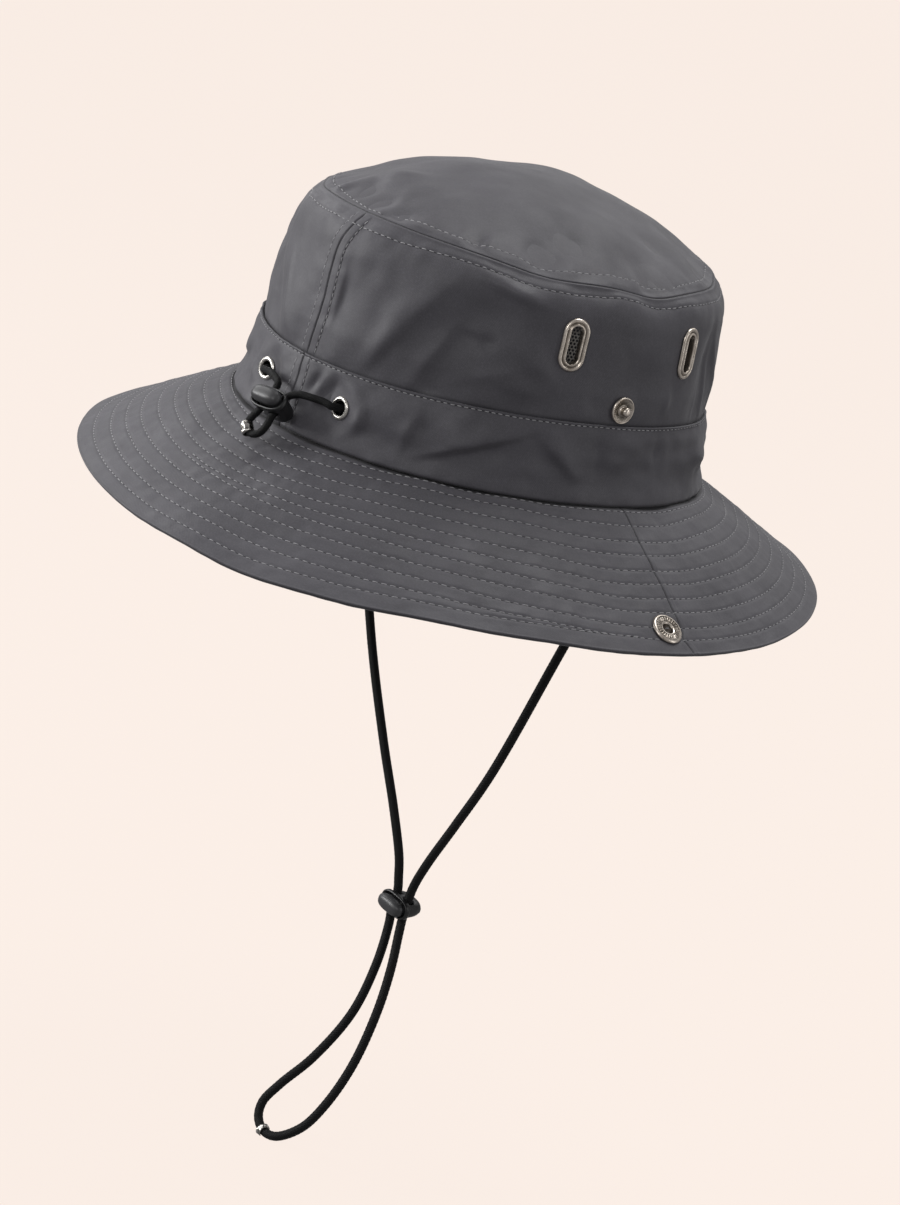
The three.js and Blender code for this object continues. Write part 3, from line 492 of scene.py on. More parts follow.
# A sewn seam across the cloth: a thin drawn line, its raised allowance and a row of stitches on each side
def seam_relief(side, raised):
    first, second = FIRST_ROW
    allowance = np.where(side > 0, step_up(second + 0.8 - side, 0, 1.2), step_up(first + 0.8 + side, 0, 1.2))
    rows = bell(side + first, 0.45) + bell(side - second, 0.45)
    return raised * allowance - 0.5 * bell(side, 0.4) - 0.18 * rows


def back_seam_side(theta, height):
    radius = HALF_WIDTH * read(PROFILE, height)
    return np.radians(turn_to(theta, BACK_SEAM)) * radius - read(BACK_SEAM_DRIFT, height)


def wall_row(theta):
    return read(WALL_ROW, angle_from(theta, 60))


def wall_relief(theta, height):
    theta, height = np.broadcast_arrays(theta, height)
    side = back_seam_side(theta, height)
    down = np.where(height < STRAIGHT_BELOW, 15.6 + STRAIGHT_BELOW - height, read(TOP_SEAM_DROP, height))
    shown = step_up(height, BAND_HEIGHT - 2, BAND_HEIGHT + 3)
    near_back = bell(side, 8)
    soft = 0.42 * around_ripple(theta, height, 17, 3) * (1 - 0.6 * near_back)
    fine = 0.09 * around_ripple(theta, height, 5.5, 4) * (1 - 0.5 * near_back)
    creases = ridge_height(WALL_RIDGES, theta, height) - fold_depth(WALL_CREASES, theta, height)
    puckers = around_ripple(theta, height * 0.35, 5, 5)
    row = read(TOP_SEAM_DROP, wall_row(theta))
    gathered = 0.2 * puckers * bell(down - row, 4.5) + 0.16 * puckers * bell(height - BAND_HEIGHT, 5)
    pulls = 0.16 * around_ripple(theta * 0.35, height, 4.2, 6) * bell(np.abs(side) - 4, 5)
    seams = seam_relief(side, 0.3) * step_up(down, 0.5, 3)
    top = 0.3 * step_up(row + 0.7 - down, 0, 1.4) - 0.2 * bell(down - row, 0.4)
    top = top + 0.28 * bell(down - 0.9, 0.5) - 0.25 * bell(down, 0.25)
    quiet = calm(wall_face(theta, height)) * step_up(down, 0, 3.5)
    return shown * ((soft + fine + creases + gathered + pulls) * quiet + seams) + top


def band_relief(theta, height):
    theta, height = np.broadcast_arrays(theta, height)
    side = back_seam_side(theta, height)
    soft = 0.5 * around_ripple(theta, height, 13, 11) * bell(height - 15, 12)
    fine = 0.12 * around_ripple(theta, height, 5, 12)
    across = 0.28 * around_ripple(theta, height * 2.4, 12, 13) * bell(height - 16, 9)
    puckers = 0.16 * around_ripple(theta, height * 0.3, 4.5, 14)
    gathered = puckers * (bell(height - BAND_ROW, 3) + 1.3 * bell(height, 5))
    lip = 0.25 * step_up(height, BAND_ROW - 0.2, BAND_ROW + 0.6) - 0.2 * bell(height - BAND_ROW, 0.5)
    puff = 0.5 * step_up(height, 0.4, 4) * step_up(BAND_ROW - height, 0, 5)
    tucked = -1.2 * (1 - step_up(height, 0, 1.8)) ** 2
    rolled = np.maximum(height - (BAND_HEIGHT - 0.6), 0)
    roll = np.sqrt(np.maximum(0.36 - rolled ** 2, 0)) - 0.6
    ridges = 1.25 * ridge_height(BAND_RIDGES, theta, height)
    plain = band_point(theta, height)
    quiet = calm(plain)
    waves = (soft + fine + across + gathered + ridges) * quiet + puff * (0.4 + 0.6 * quiet)
    return waves + seam_relief(side, 0.25) + lip + tucked + roll + eyelet_lean(plain)


def tip_relief(theta, reach):
    theta, reach = np.broadcast_arrays(theta, reach)
    x = 0.86 * HALF_WIDTH * reach * np.cos(theta)
    y = 0.86 * HALF_WIDTH * reach * np.sin(theta)
    inwards = (1 - reach) * TIP_RADIUS * 1.15
    row = read(TIP_ROW, angle_from(theta, 100))
    soft = 0.5 * ripple(x, y, 21, 21) + 0.1 * ripple(x, y, 7, 22)
    gathered = 0.26 * around_ripple(theta, inwards * 0.3, 4.5, 23) * bell(inwards - row, 5)
    drawn = 0.5 * around_ripple(theta, inwards * 0.25, 8, 24) * bell(inwards - 6, 7)
    ridges = ridge_height(TIP_RIDGES, theta, reach, TIP_RADIUS, TIP_RADIUS * reach)
    top = 0.25 * step_up(row + 0.7 - inwards, 0, 1.2) - 0.2 * bell(inwards - row, 0.4)
    return (soft + gathered + drawn + ridges) * step_up(inwards, 0, 3) + top - 0.3 * bell(inwards, 0.25)


# Brim: quilted between its rows of stitches
def circle_reach(theta, row):
    reaches = BRIM_CIRCLES[row]
    rows = [(-60, reaches[-1]), *zip(CIRCLE_ANGLES, reaches), (420, reaches[0]), (450, reaches[1])]
    return read(rows, angle_from(theta, 60))


def brim_groove(theta, reach):
    """How deep in a row's groove a place lies, from 0 to 1."""
    rows = [(circle_reach(theta, row), True) for row in range(len(BRIM_CIRCLES))]
    for turn in range(len(SPIRAL_TURNS)):
        angle = angle_from(theta, SPIRAL_START) + 360 * turn
        rows.append((read(BRIM_SPIRAL, angle), angle <= SPIRAL_END))
    groove = 0
    for row, there in rows:
        groove = np.maximum(groove, there * bell((reach - row) * BRIM_WIDTH, 0.65))
    return groove


def seam_kink(reach):
    return 1.6 * bell((reach - 0.9) * BRIM_WIDTH, 3.2)


def side_seam(theta, reach):
    radius = HALF_WIDTH + BRIM_GROWTH * reach
    return [np.radians(turn_to(theta, angle)) * radius + seam_kink(reach) for angle in SIDE_SEAMS]


def brim_relief(theta, reach):
    theta, reach = np.broadcast_arrays(theta, reach)
    out = reach * BRIM_WIDTH
    groove = brim_groove(theta, reach)
    crinkle = around_ripple(theta, out * 0.8, 3.6, 31, BRIM_MIDDLE)
    puckers = 0.13 * crinkle * step_up(out, 1, 5) * step_up(BRIM_WIDTH - out, 1, 5)
    soft = 0.35 * around_ripple(theta, out, 22, 32, BRIM_MIDDLE)
    seams = 0
    for side in side_seam(theta, reach):
        seams = seams + 0.14 * step_up(3.4 - np.abs(side), 0, 1.2) - 0.5 * bell(side, 0.38)
    quilt = 0.13 - 0.27 * groove + puckers * (1 - 0.5 * groove)
    tuck = -0.8 * (1 - step_up(out, 0, 1.2)) + 0.8 * bell(turn_to(theta, 152), 17) * bell(out - 1.8, 2.5)
    quiet = calm(brim_point(theta, reach))
    return quilt * (0.15 + 0.85 * quiet) + soft * quiet + seams + tuck


class SewnFace:
    """The shown face of a sewn piece: its plain surface, and the relief that stands off it."""

    def __init__(self, plain, relief, facing=1, nudge=0.02):
        self.plain = plain
        self.relief = relief
        self.facing = facing
        self.nudge = nudge

    def away(self, theta, place):
        return unit(np.cross(*steps(self.plain, theta, place, self.facing, self.nudge)))

    def cloth(self, theta, place):
        return self.plain(theta, place) + self.relief(theta, place)[..., None] * self.away(theta, place)


WALL = SewnFace(wall_face, wall_relief)
BAND = SewnFace(band_point, band_relief)
TIP = SewnFace(tip_point, tip_relief, -1, 0.001)
BRIM = SewnFace(brim_point, brim_relief, -1, 0.002)


def brim_under(theta, reach):
    theta, reach = np.broadcast_arrays(theta, reach)
    below = (BRIM_CLOTH + 0.25 - 0.5 * brim_groove(theta, reach)) * (0.5 + 0.5 * step_up(reach, 0, 0.04))
    wave = 0.12 * around_ripple(theta, reach * BRIM_WIDTH, 4, 33, BRIM_MIDDLE)
    wave = wave + 0.35 * around_ripple(theta, reach * BRIM_WIDTH, 22, 32, BRIM_MIDDLE)
    return brim_point(theta, reach, below) + wave[..., None] * BRIM.away(theta, reach)


# Meshes
def columns(fine_at, count=520, half_width=5.0, step=0.16):
    """Angles round the head, closer together at the seams."""
    angles = list(np.arange(count) * 360 / count)
    for middle in fine_at:
        angles = [a for a in angles if abs((a - middle + 180) % 360 - 180) > half_width]
        angles += list((middle + np.arange(-half_width, half_width + step / 2, step)) % 360)
    return np.radians(np.array(sorted(angles)))


def add_object(name, points, faces, material, uvs=None, shade=None):
    mesh = bpy.data.meshes.new(name)
    mesh.from_pydata((np.asarray(points) * MM).tolist(), [], faces)
    if uvs is not None:
        layer = mesh.uv_layers.new(name="cloth")
        layer.data.foreach_set("uv", (np.asarray(uvs, float) * MM).ravel())
    if shade is not None:
        layer = mesh.attributes.new("shade", "FLOAT", "POINT")
        layer.data.foreach_set("value", np.asarray(shade, float).ravel())
    mesh.shade_smooth()
    mesh.materials.append(material)
    piece = bpy.data.objects.new(name, mesh)
    bpy.context.scene.collection.objects.link(piece)
    return piece


def ring_quads(count, total, looped=True):
    """Four-sided faces between rings of points that each close on themselves."""
    i = np.arange(count)
    after = (i + 1) % count
    low = np.arange(total if looped else total - 1)[:, None] * count
    high = (low + count) % (total * count)
    return np.stack([low + i, low + after, high + after, high + i], -1).reshape(-1, 4)


def pole_fans(count, total):
    """Three-sided faces from two poles, numbered after the rings' points, to the first and last ring."""
    i = np.arange(count)
    after = (i + 1) % count
    last = (total - 1) * count
    pole = np.full(count, total * count)
    return np.stack([[pole, after, i], [pole + 1, last + i, last + after]]).swapaxes(1, 2).reshape(-1, 3)


def skin(name, rings, material, looped=True, poles=None, around=None, rows=None, shade=None):
    """A closed skin over rings of points: the last ring meets the first, or poles or flat ends close it."""
    rings = np.array(rings)
    total, count = rings.shape[:2]
    points = rings.reshape(-1, 3)
    faces = ring_quads(count, total, looped).tolist()
    uvs = None
    if around is not None:
        low = rows if looped else rows[:-1]
        high = np.append(rows[1:], rows[-1] + 1)[:len(low)]
        u = np.stack([around[:-1], around[1:], around[1:], around[:-1]], -1)
        v = np.stack([low, low, high, high], -1)[:, None]
        uvs = np.stack(np.broadcast_arrays(u, v), -1).reshape(-1, 2)
    if shade is not None:
        shade = np.concatenate([np.broadcast_to(part, count) for part in shade])
    if poles is not None:
        points = np.concatenate([points, poles])
        faces += pole_fans(count, total).tolist()
        uvs = np.concatenate([uvs, np.zeros((6 * count, 2))])
        shade = None if shade is None else np.append(shade, [0, 0])
    elif not looped:
        faces += [list(range(count))[::-1], list(range((total - 1) * count, total * count))]
    return add_object(name, points, faces, material, uvs, shade)


def cloth_shell(name, rings, rows, thetas, shade, radius=HALF_WIDTH, poles=None):
    around = np.append(thetas, thetas[0] + FULL_TURN) * radius
    return skin(name, rings, CLOTH_LOOK, poles is None, poles, around, rows, shade)


# Materials
class Shader:
    """A material's nodes, made and joined with short calls."""

    def __init__(self, name, settings):
        self.material = bpy.data.materials.new(name)
        self.material.use_nodes = True
        self.tree = self.material.node_tree
        self.surface = self.tree.nodes["Principled BSDF"]
        for socket, value in settings.items():
            self.surface.inputs[socket].default_value = value

    def node(self, kind, inputs, **settings):
        made = self.tree.nodes.new("ShaderNode" + kind)
        for key, value in settings.items():
            setattr(made, key, value)
        for key, value in inputs.items():
            if isinstance(value, bpy.types.NodeSocket):
                self.tree.links.new(value, made.inputs[key])
            else:
                made.inputs[key].default_value = value
        return made

    def math(self, operation, first, second=0.0):
        return self.node("Math", {0: first, 1: second}, operation=operation).outputs[0]

    def noise(self, place, scale, detail=3.0):
        return self.node("TexNoise", {"Vector": place, "Scale": scale, "Detail": detail}).outputs[0]

    def stretched(self, place, scale):
        return self.node("Mapping", {"Vector": place, "Scale": scale}).outputs[0]

    def spread(self, value, low, high, start=0.3, end=0.7):
        return self.node("MapRange", {0: value, 1: start, 2: end, 3: low, 4: high}).outputs[0]

    def tint(self, value, first, second):
        inputs = {0: value}
        for key, colour in ((6, first), (7, second)):
            inputs[key] = colour if isinstance(colour, bpy.types.NodeSocket) else (*colour, 1)
        return self.node("Mix", inputs, data_type="RGBA").outputs[2]

    def shade(self, name):
        return self.node("Attribute", {}, attribute_name=name).outputs["Fac"]

    def place(self, kind="Object"):
        return self.node("TexCoord", {}).outputs[kind]

    def set(self, socket, value):
        self.tree.links.new(value, self.surface.inputs[socket])

    def bump(self, height, strength, distance, below=None):
        inputs = {"Height": height, "Strength": strength, "Distance": distance}
        if below is not None:
            inputs["Normal"] = below
        made = self.node("Bump", inputs).outputs[0]
        self.set("Normal", made)
        return made

    def finish(self, place, rough, low, high, grain, strength, distance):
        """Roughness and bump, each from noise of the given scale and detail."""
        self.set("Roughness", self.spread(self.noise(place, *rough), low, high))
        return self.bump(self.noise(place, *grain), strength, distance)


THREAD_PITCH = 0.00042
BRAID_YARN = 0.0011


def times(colour, factor):
    return tuple(factor * c for c in colour)


def cloth_material(name, light, dark):
    shader = Shader(name, {"Sheen Weight": 0.12, "Sheen Roughness": 0.45, "Specular IOR Level": 0.4})
    flat = shader.place("UV")
    parts = shader.node("SeparateXYZ", {0: flat}).outputs
    waves = []
    for part in parts[:2]:
        waves.append(shader.math("COSINE", shader.math("MULTIPLY", part, math.pi / THREAD_PITCH)))
    weave = shader.math("MULTIPLY", *waves)
    sizes = ((260, 2600, 1), (2600, 260, 1))
    slubs = [shader.noise(shader.stretched(flat, size), 1.0, 2.0) for size in sizes]
    yarns = shader.math("ADD", *slubs)
    place = shader.place()
    base = shader.tint(shader.spread(shader.noise(place, 34, 6), -0.2, 1.2), dark, light)
    base = shader.tint(shader.spread(yarns, 0, 0.35, 0.75, 1.25), base, times(dark, 0.8))
    flecks = shader.spread(shader.noise(place, 1500, 2), 0, 0.5, 0.45, 0.8)
    base = shader.tint(flecks, base, times(light, 1.35))
    # Painted shade: the mesh's shade attribute darkens the cloth along its seams, where pieces meet or tuck
    # under each other, inside the hat and in the brim's grooves
    painted_shade = shader.math("MULTIPLY", shader.shade("shade"), 0.76)
    shader.set("Base Color", shader.tint(painted_shade, base, times(dark, 0.12)))
    crumpled = shader.finish(place, (60, 3), 0.5, 0.62, (120, 4), 0.24, 0.0012)
    threads = shader.math("ADD", weave, shader.math("MULTIPLY", yarns, 1.5))
    shader.bump(threads, 0.22, 0.00008, crumpled)
    return shader.material


def thread_material():
    shader = Shader("grey_thread", {"Sheen Weight": 0.2, "Specular IOR Level": 0.35})
    place = shader.place()
    tone = shader.noise(place, 380, 2)
    shader.set("Base Color", shader.tint(tone, (0.17, 0.168, 0.175), (0.44, 0.435, 0.45)))
    shader.finish(place, (700, 3), 0.6, 0.8, (4200, 1), 0.5, 0.0001)
    return shader.material


def metal_material(name, bright, worn, roughness, grain):
    shader = Shader(name, {"Metallic": 1.0})
    place = shader.place()
    plate = shader.tint(shader.spread(shader.noise(place, 260, 4), 0, 1), bright, worn)
    # The shade attribute darkens the plate: patina in the fittings' grooves and rings, tarnish on the clips,
    # and painted shade in bores, slot walls, undersides and the clips' dents
    tarnish_and_painted_shade = shader.math("MULTIPLY", shader.shade("shade"), 0.94)
    shader.set("Base Color", shader.tint(tarnish_and_painted_shade, plate, times(worn, 0.1)))
    shader.finish(place, (900, 4), roughness, roughness + 0.12, (2400, 3), grain, 0.00006)
    return shader.material


def plastic_material(name, colour, roughness, grain):
    shader = Shader(name, {"Specular IOR Level": 0.5})
    place = shader.place()
    shader.set("Base Color", shader.tint(shader.noise(place, 160, 4), colour, times(colour, 1.35)))
    shader.finish(place, (600, 3), roughness, roughness + 0.1, (2600, 2), grain, 0.00005)
    return shader.material


def cord_material():
    shader = Shader("black_braid", {"Sheen Weight": 0.01, "Specular IOR Level": 0.15})
    parts = shader.node("SeparateXYZ", {0: shader.place("UV")}).outputs
    around = shader.math("MULTIPLY", parts[0], FULL_TURN * 12)
    along = shader.math("MULTIPLY", parts[1], FULL_TURN / BRAID_YARN)
    yarns = [shader.math("SINE", shader.math(kind, along, around)) for kind in ("ADD", "SUBTRACT")]
    braid = shader.math("MAXIMUM", *yarns)
    # Painted shade: the braid's colour is darker in the grooves between its yarns, following the same braid
    # that bumps it
    low = shader.spread(braid, 0, 1, -0.2, 1)
    shader.set("Base Color", shader.tint(low, (0.002, 0.002, 0.002), (0.0095, 0.0095, 0.01)))
    shader.set("Roughness", shader.spread(shader.noise(shader.place(), 500), 0.48, 0.66))
    shader.bump(braid, 0.6, 0.00012)
    return shader.material


def mesh_material():
    shader = Shader("dark_mesh", {"Specular IOR Level": 0.5})
    place = shader.place()
    tone = shader.noise(place, 900)
    shader.set("Base Color", shader.tint(tone, (0.14, 0.135, 0.125), (0.36, 0.345, 0.325)))
    shader.finish(place, (1200, 3), 0.45, 0.65, (5000, 3), 0.3, 0.00005)
    return shader.material


CLOTH_LOOK = cloth_material("charcoal_cloth", (0.0745, 0.0717, 0.0822), (0.0614, 0.059, 0.0676))
THREAD_LOOK = thread_material()
# Near-black lozenges laid between stitches: painted shade in the needle holes
PIT_SHADE_LOOK = plastic_material("painted_pit_shade", (0.012, 0.012, 0.013), 0.8, 0.0)
NICKEL_LOOK = metal_material("worn_nickel", (0.86, 0.78, 0.69), (0.5, 0.44, 0.375), 0.26, 0.2)
SILVER_LOOK = metal_material("bright_plate", (0.82, 0.79, 0.74), (0.52, 0.5, 0.46), 0.2, 0.06)
CORD_LOOK = cord_material()
MESH_LOOK = mesh_material()
PLASTIC_LOOK = plastic_material("black_plastic", (0.009, 0.009, 0.0095), 0.3, 0.1)
BUTTON_LOOK = plastic_material("grey_plastic", (0.032, 0.032, 0.034), 0.36, 0.16)


# The camera stands behind the hat, to its right and a little above it
CAMERA_PLACE = (-0.96797, 0.91349, 0.31403)
CAMERA_ACROSS = (-0.61872, -0.74745, 0.24187)
CAMERA_UP = (0.36985, -0.0055, 0.92908)
CAMERA_LENS = 99.01


def add_holder(name, data, place, turn):
    holder = bpy.data.objects.new(name, data)
    holder.matrix_world = Matrix.Translation(Vector(place)) @ turn
    bpy.context.scene.collection.objects.link(holder)
    return holder


def build_camera():
    camera = bpy.data.cameras.new("camera")
    camera.lens = CAMERA_LENS
    camera.sensor_width = 36
    camera.clip_end = 50
    across, up = Vector(CAMERA_ACROSS), Vector(CAMERA_UP)
    turn = Matrix((across, up, across.cross(up))).transposed().to_4x4()
    bpy.context.scene.camera = add_holder("camera", camera, CAMERA_PLACE, turn)


# Cords
def curve_between(b, c, start, end, t):
    """A smooth cubic from b to c that leaves with one slope and arrives with another."""
    cubic = (2 * b - 2 * c + start + end) * t ** 3
    return cubic + (-3 * b + 3 * c - 2 * start - end) * t ** 2 + start * t + b


def smooth_route(points, spacing):
    """A centripetal curve through the points, at even steps along it, and its length."""
    points = np.asarray(points, float)
    points = np.vstack([2 * points[0] - points[1], points, 2 * points[-1] - points[-2]])
    t = np.linspace(0, 1, 60, endpoint=False)[:, None]
    dense = []
    for a, b, c, d in zip(points[:-3], points[1:-2], points[2:-1], points[3:]):
        ab, bc, cd = (max(np.linalg.norm(q - p) ** 0.5, 1e-4) for p, q in ((a, b), (b, c), (c, d)))
        start = ((b - a) / ab - (c - a) / (ab + bc) + (c - b) / bc) * bc
        end = ((c - b) / bc - (d - b) / (bc + cd) + (d - c) / cd) * bc
        dense.append(curve_between(b, c, start, end, t))
    dense = np.vstack(dense + [points[-2:-1]])
    gone = distances(dense)
    count = max(int(round(gone[-1] / spacing)), 2)
    return at_distance(dense, gone, np.linspace(0, gone[-1], count + 1)), gone[-1]


def frames_along(route):
    """Directions across a route that turn with it and don't twist."""
    along = unit(np.gradient(route, axis=0))
    side = np.cross(along[0], (0.3, 0.2, 1))
    sides = []
    for direction in along:
        side = side - direction * np.dot(side, direction)
        side = side / np.linalg.norm(side)
        sides.append(side)
    sides = np.array(sides)
    return along, sides, np.cross(along, sides)


BRAID_STRANDS = 6
BRAID_PITCH = 4.2


def cord_tube(name, route, radius, sides=18, braid=0.09):
    along, across, up = frames_along(route)
    turn = np.arange(sides) * FULL_TURN / sides
    gone = distances(route)
    climb = 2 * gone[:, None] * FULL_TURN / BRAID_PITCH
    strands = np.maximum(np.cos(BRAID_STRANDS * turn + climb), np.cos(BRAID_STRANDS * turn - climb))
    bulge = radius - braid * 0.6 + braid * strands
    ring = across[:, None] * np.cos(turn)[:, None] + up[:, None] * np.sin(turn)[:, None]
    poles = [route[0] - along[0] * 0.15, route[-1] + along[-1] * 0.15]
    around = np.arange(sides + 1) / sides / MM
    return skin(name, route[:, None] + bulge[..., None] * ring, CORD_LOOK, False, poles, around, gone)


def lock_seat(name):
    centre, push, long = (np.array(v, float) for v in LOCKS[name])
    push = unit(push)
    across = unit(np.cross(push, long))
    return placed(np.cross(across, push), across, push, centre)


def lock_run(name, side):
    beside = side * LOCK_CORD_SPACING / 2
    return [tuple(moved((beside, along, 0), lock_seat(name))) for along in (LOCK_RUN, -LOCK_RUN)]


def eyelet_run(name, side):
    return [tuple(moved((side * along, 0, off), EYELET_SEATS[name])) for along, off in EYELET_RUN]


def channel_run(start, end, level):
    count = round(abs(end - start) / 7)
    thetas = np.radians(start + (end - start) * np.arange(count + 1) / count)
    return [tuple(p) for p in outline(thetas, read(PROFILE, level), CORD_INSET, level + lift(thetas, level))]


def drawcord_points():
    down = eyelet_run("right", 1) + DRAWCORD_RIGHT + lock_run("rear", 1) + DRAWCORD_LOOP
    return down + lock_run("rear", -1)[::-1] + DRAWCORD_LEFT + eyelet_run("left", -1)[::-1]


def chin_cord_points():
    down = CHIN_CORD_RIGHT + lock_run("chin", 1) + CHIN_CORD_LOOP
    return down + lock_run("chin", -1)[::-1] + CHIN_CORD_LEFT


def chin_cord_ring():
    right = CHIN_CORD_TURN[::-1]
    left = [(-x, y, z) for x, y, z in CHIN_CORD_TURN]
    return right + channel_run(179, 1, CHIN_SLOT_LEVEL) + left


# Fittings, each swept or turned from a rounded section
def resampled(section, count, closed=True):
    section = np.asarray(section, float)
    if closed:
        section = np.vstack([section[-1:], section, section[:2]])
    else:
        section = np.vstack([2 * section[0] - section[1], section, 2 * section[-1] - section[-2]])
    t = np.linspace(0, 1, count, endpoint=False)[:, None]
    out = []
    for a, b, c, d in zip(section[:-3], section[1:-2], section[2:-1], section[3:]):
        out.append(curve_between(b, c, (c - a) / 2, (d - b) / 2, t))
    if not closed:
        out.append(section[-2:-1])
    return np.vstack(out)


def swept(name, rings, matrix, material, closed=True, shade=None):
    return skin(name, [moved(ring, matrix) for ring in rings], material, closed, shade=shade)


def ring_outline(radius, up, sides):
    turn = np.arange(sides) * FULL_TURN / sides
    return np.stack([radius * np.cos(turn), radius * np.sin(turn), up + 0 * turn], -1)


def oblong_outline(half_length, radius, up):
    turn = np.linspace(0, math.pi, 18)
    half = np.stack([radius * np.cos(turn), half_length + radius * np.sin(turn)], -1)
    return np.column_stack([np.concatenate([half, -half]), np.full(2 * len(half), up)])


def sideways(shape):
    return shape[:, [1, 0, 2]] * np.array([-1, 1, 1])


FRAME_SECTION = [
    (0.1, -2.5), (0.02, -1), (0.0, 0.7), (0.12, 1.15), (0.42, 1.35), (0.78, 1.22), (1.0, 0.9), (1.2, 0.72),
    (1.5, 0.78), (1.8, 1.08), (2.2, 1.22), (2.65, 1.02), (2.95, 0.62), (2.98, 0.22), (2.5, 0.08), (1.3, 0.1),
    (0.95, -0.3), (0.9, -1.8), (1.5, -2.0), (1.95, -2.25), (1.6, -2.5), (0.9, -2.62),
]
EYELET_SECTION = [
    (2.82, -0.6), (2.85, 0.2), (3.05, 0.75), (3.5, 1.08), (4.05, 1.08), (4.5, 0.82), (4.72, 0.4),
    (4.55, 0.15), (3.7, 0.12), (3.38, -0.2), (3.36, -1.35), (3.8, -1.45), (4.15, -1.6), (3.8, -1.85),
    (3.2, -1.85), (2.9, -1.4),
]
STUD_SECTION = [
    (0.0, 4.3), (0.9, 4.26), (1.5, 4.0), (1.85, 3.5), (1.8, 2.9), (1.55, 2.4), (1.5, 1.7), (1.75, 1.15),
    (2.3, 0.85), (3.2, 0.9), (4.2, 1.05), (4.65, 1.3), (4.95, 1.52), (5.25, 1.4), (5.4, 1.0), (5.3, 0.55),
    (4.6, 0.35), (2.0, 0.3), (1.1, 0.1), (1.1, -1.7), (3.9, -1.9), (4.0, -2.2), (3.4, -2.6), (0.0, -2.65),
]
SOCKET_SECTION = [
    (2.1, -3.0), (2.05, -1), (2.1, 0.5), (2.35, 1.05), (2.8, 1.3), (3.4, 1.28), (4.2, 1.3), (5.0, 1.28),
    (5.6, 1.4), (6.1, 1.3), (6.5, 0.95), (6.6, 0.5), (6.2, 0.32), (3.2, 0.3), (2.95, 0.0), (2.95, -2.2),
    (3.4, -2.4), (5.2, -2.4), (5.5, -2.75), (5.2, -3.1), (3.4, -3.15),
]


def turned_piece(name, section, matrix, material, closed=True, knurl=None, sides=96, smooth=3, dark=()):
    """Turned from a section; a knurl cuts fine spokes into its face between two radii."""
    turn = np.arange(sides) * FULL_TURN / sides
    rings = []
    tarnish_and_painted_shade = []
    for radius, up in resampled(section, smooth, closed):
        radius = max(radius, 0.01)
        ring = ring_outline(radius, up, sides)
        patina_and_shade = sum(strength * bell(radius - middle, width) for middle, width, strength in dark if up > 0.4)
        # Painted shade below the face, in the bore and underneath; the dark rings above are patina
        patina_and_shade = patina_and_shade + 0.6 * (1 - step_up(up, -0.4, 0.5)) + 0 * turn
        if knurl and up > 0.5:
            near, far, spokes, deep = knurl
            band = step_up(radius, near - 0.2, near + 0.2) * step_up(far + 0.2 - radius, 0, 0.4)
            ring[:, 2] += deep * band * np.cos(spokes * turn)
            # The knurl's crests are made lighter and its valleys darker
            patina_and_shade = patina_and_shade - 0.45 * band * np.cos(spokes * turn)
        rings.append(ring)
        tarnish_and_painted_shade.append(np.clip(patina_and_shade, 0, 1))
    return swept(name, rings, matrix, material, closed, tarnish_and_painted_shade)


def vent_frame(name, matrix):
    section = resampled(FRAME_SECTION, 3)
    out, up = section.T
    rings = [oblong_outline(VENT_HALF_SLOT, VENT_SLOT_RADIUS + row[0], row[1]) for row in section]
    groove = 0.95 * bell(out - 1.3, 0.26) * step_up(up, 0.3, 0.6)
    # Painted shade on the slot's inner walls and the frame's back; the groove between the rims is patina
    inside = 0.7 * (1 - step_up(up, -0.6, 0.8))
    return swept(name, rings, matrix, NICKEL_LOOK, shade=np.clip(groove + inside, 0, 1))


NET_PITCH = 1.5
NET_LEVEL = -3.2
NET_BARS = [(0.578, -0.16), (0.578, 0.16), (0.4, 0.16), (0.4, -0.16)]


def vent_net(name, matrix):
    """Open mesh behind a vent: hexagons whose edges are thin bars."""
    cell = ring_quads(6, len(NET_BARS))
    turn = np.radians(60 * np.arange(6) + 30)
    points = []
    faces = []
    for row in range(-9, 10):
        for column in range(-5, 6):
            x = (column + 0.5 * (row % 2)) * NET_PITCH
            y = row * NET_PITCH * math.sqrt(3) / 2
            if math.hypot(x, max(abs(y) - VENT_HALF_SLOT, 0)) > VENT_SLOT_RADIUS + 1.4:
                continue
            faces += (cell + len(points)).tolist()
            for reach, up in NET_BARS:
                for angle in turn:
                    beside = reach * NET_PITCH * math.cos(angle)
                    above = reach * NET_PITCH * math.sin(angle)
                    points.append((x + beside, y + above, NET_LEVEL + up))
    piece = add_object(name, moved(points, matrix), faces, MESH_LOOK)
    piece.data.shade_flat()
    return piece


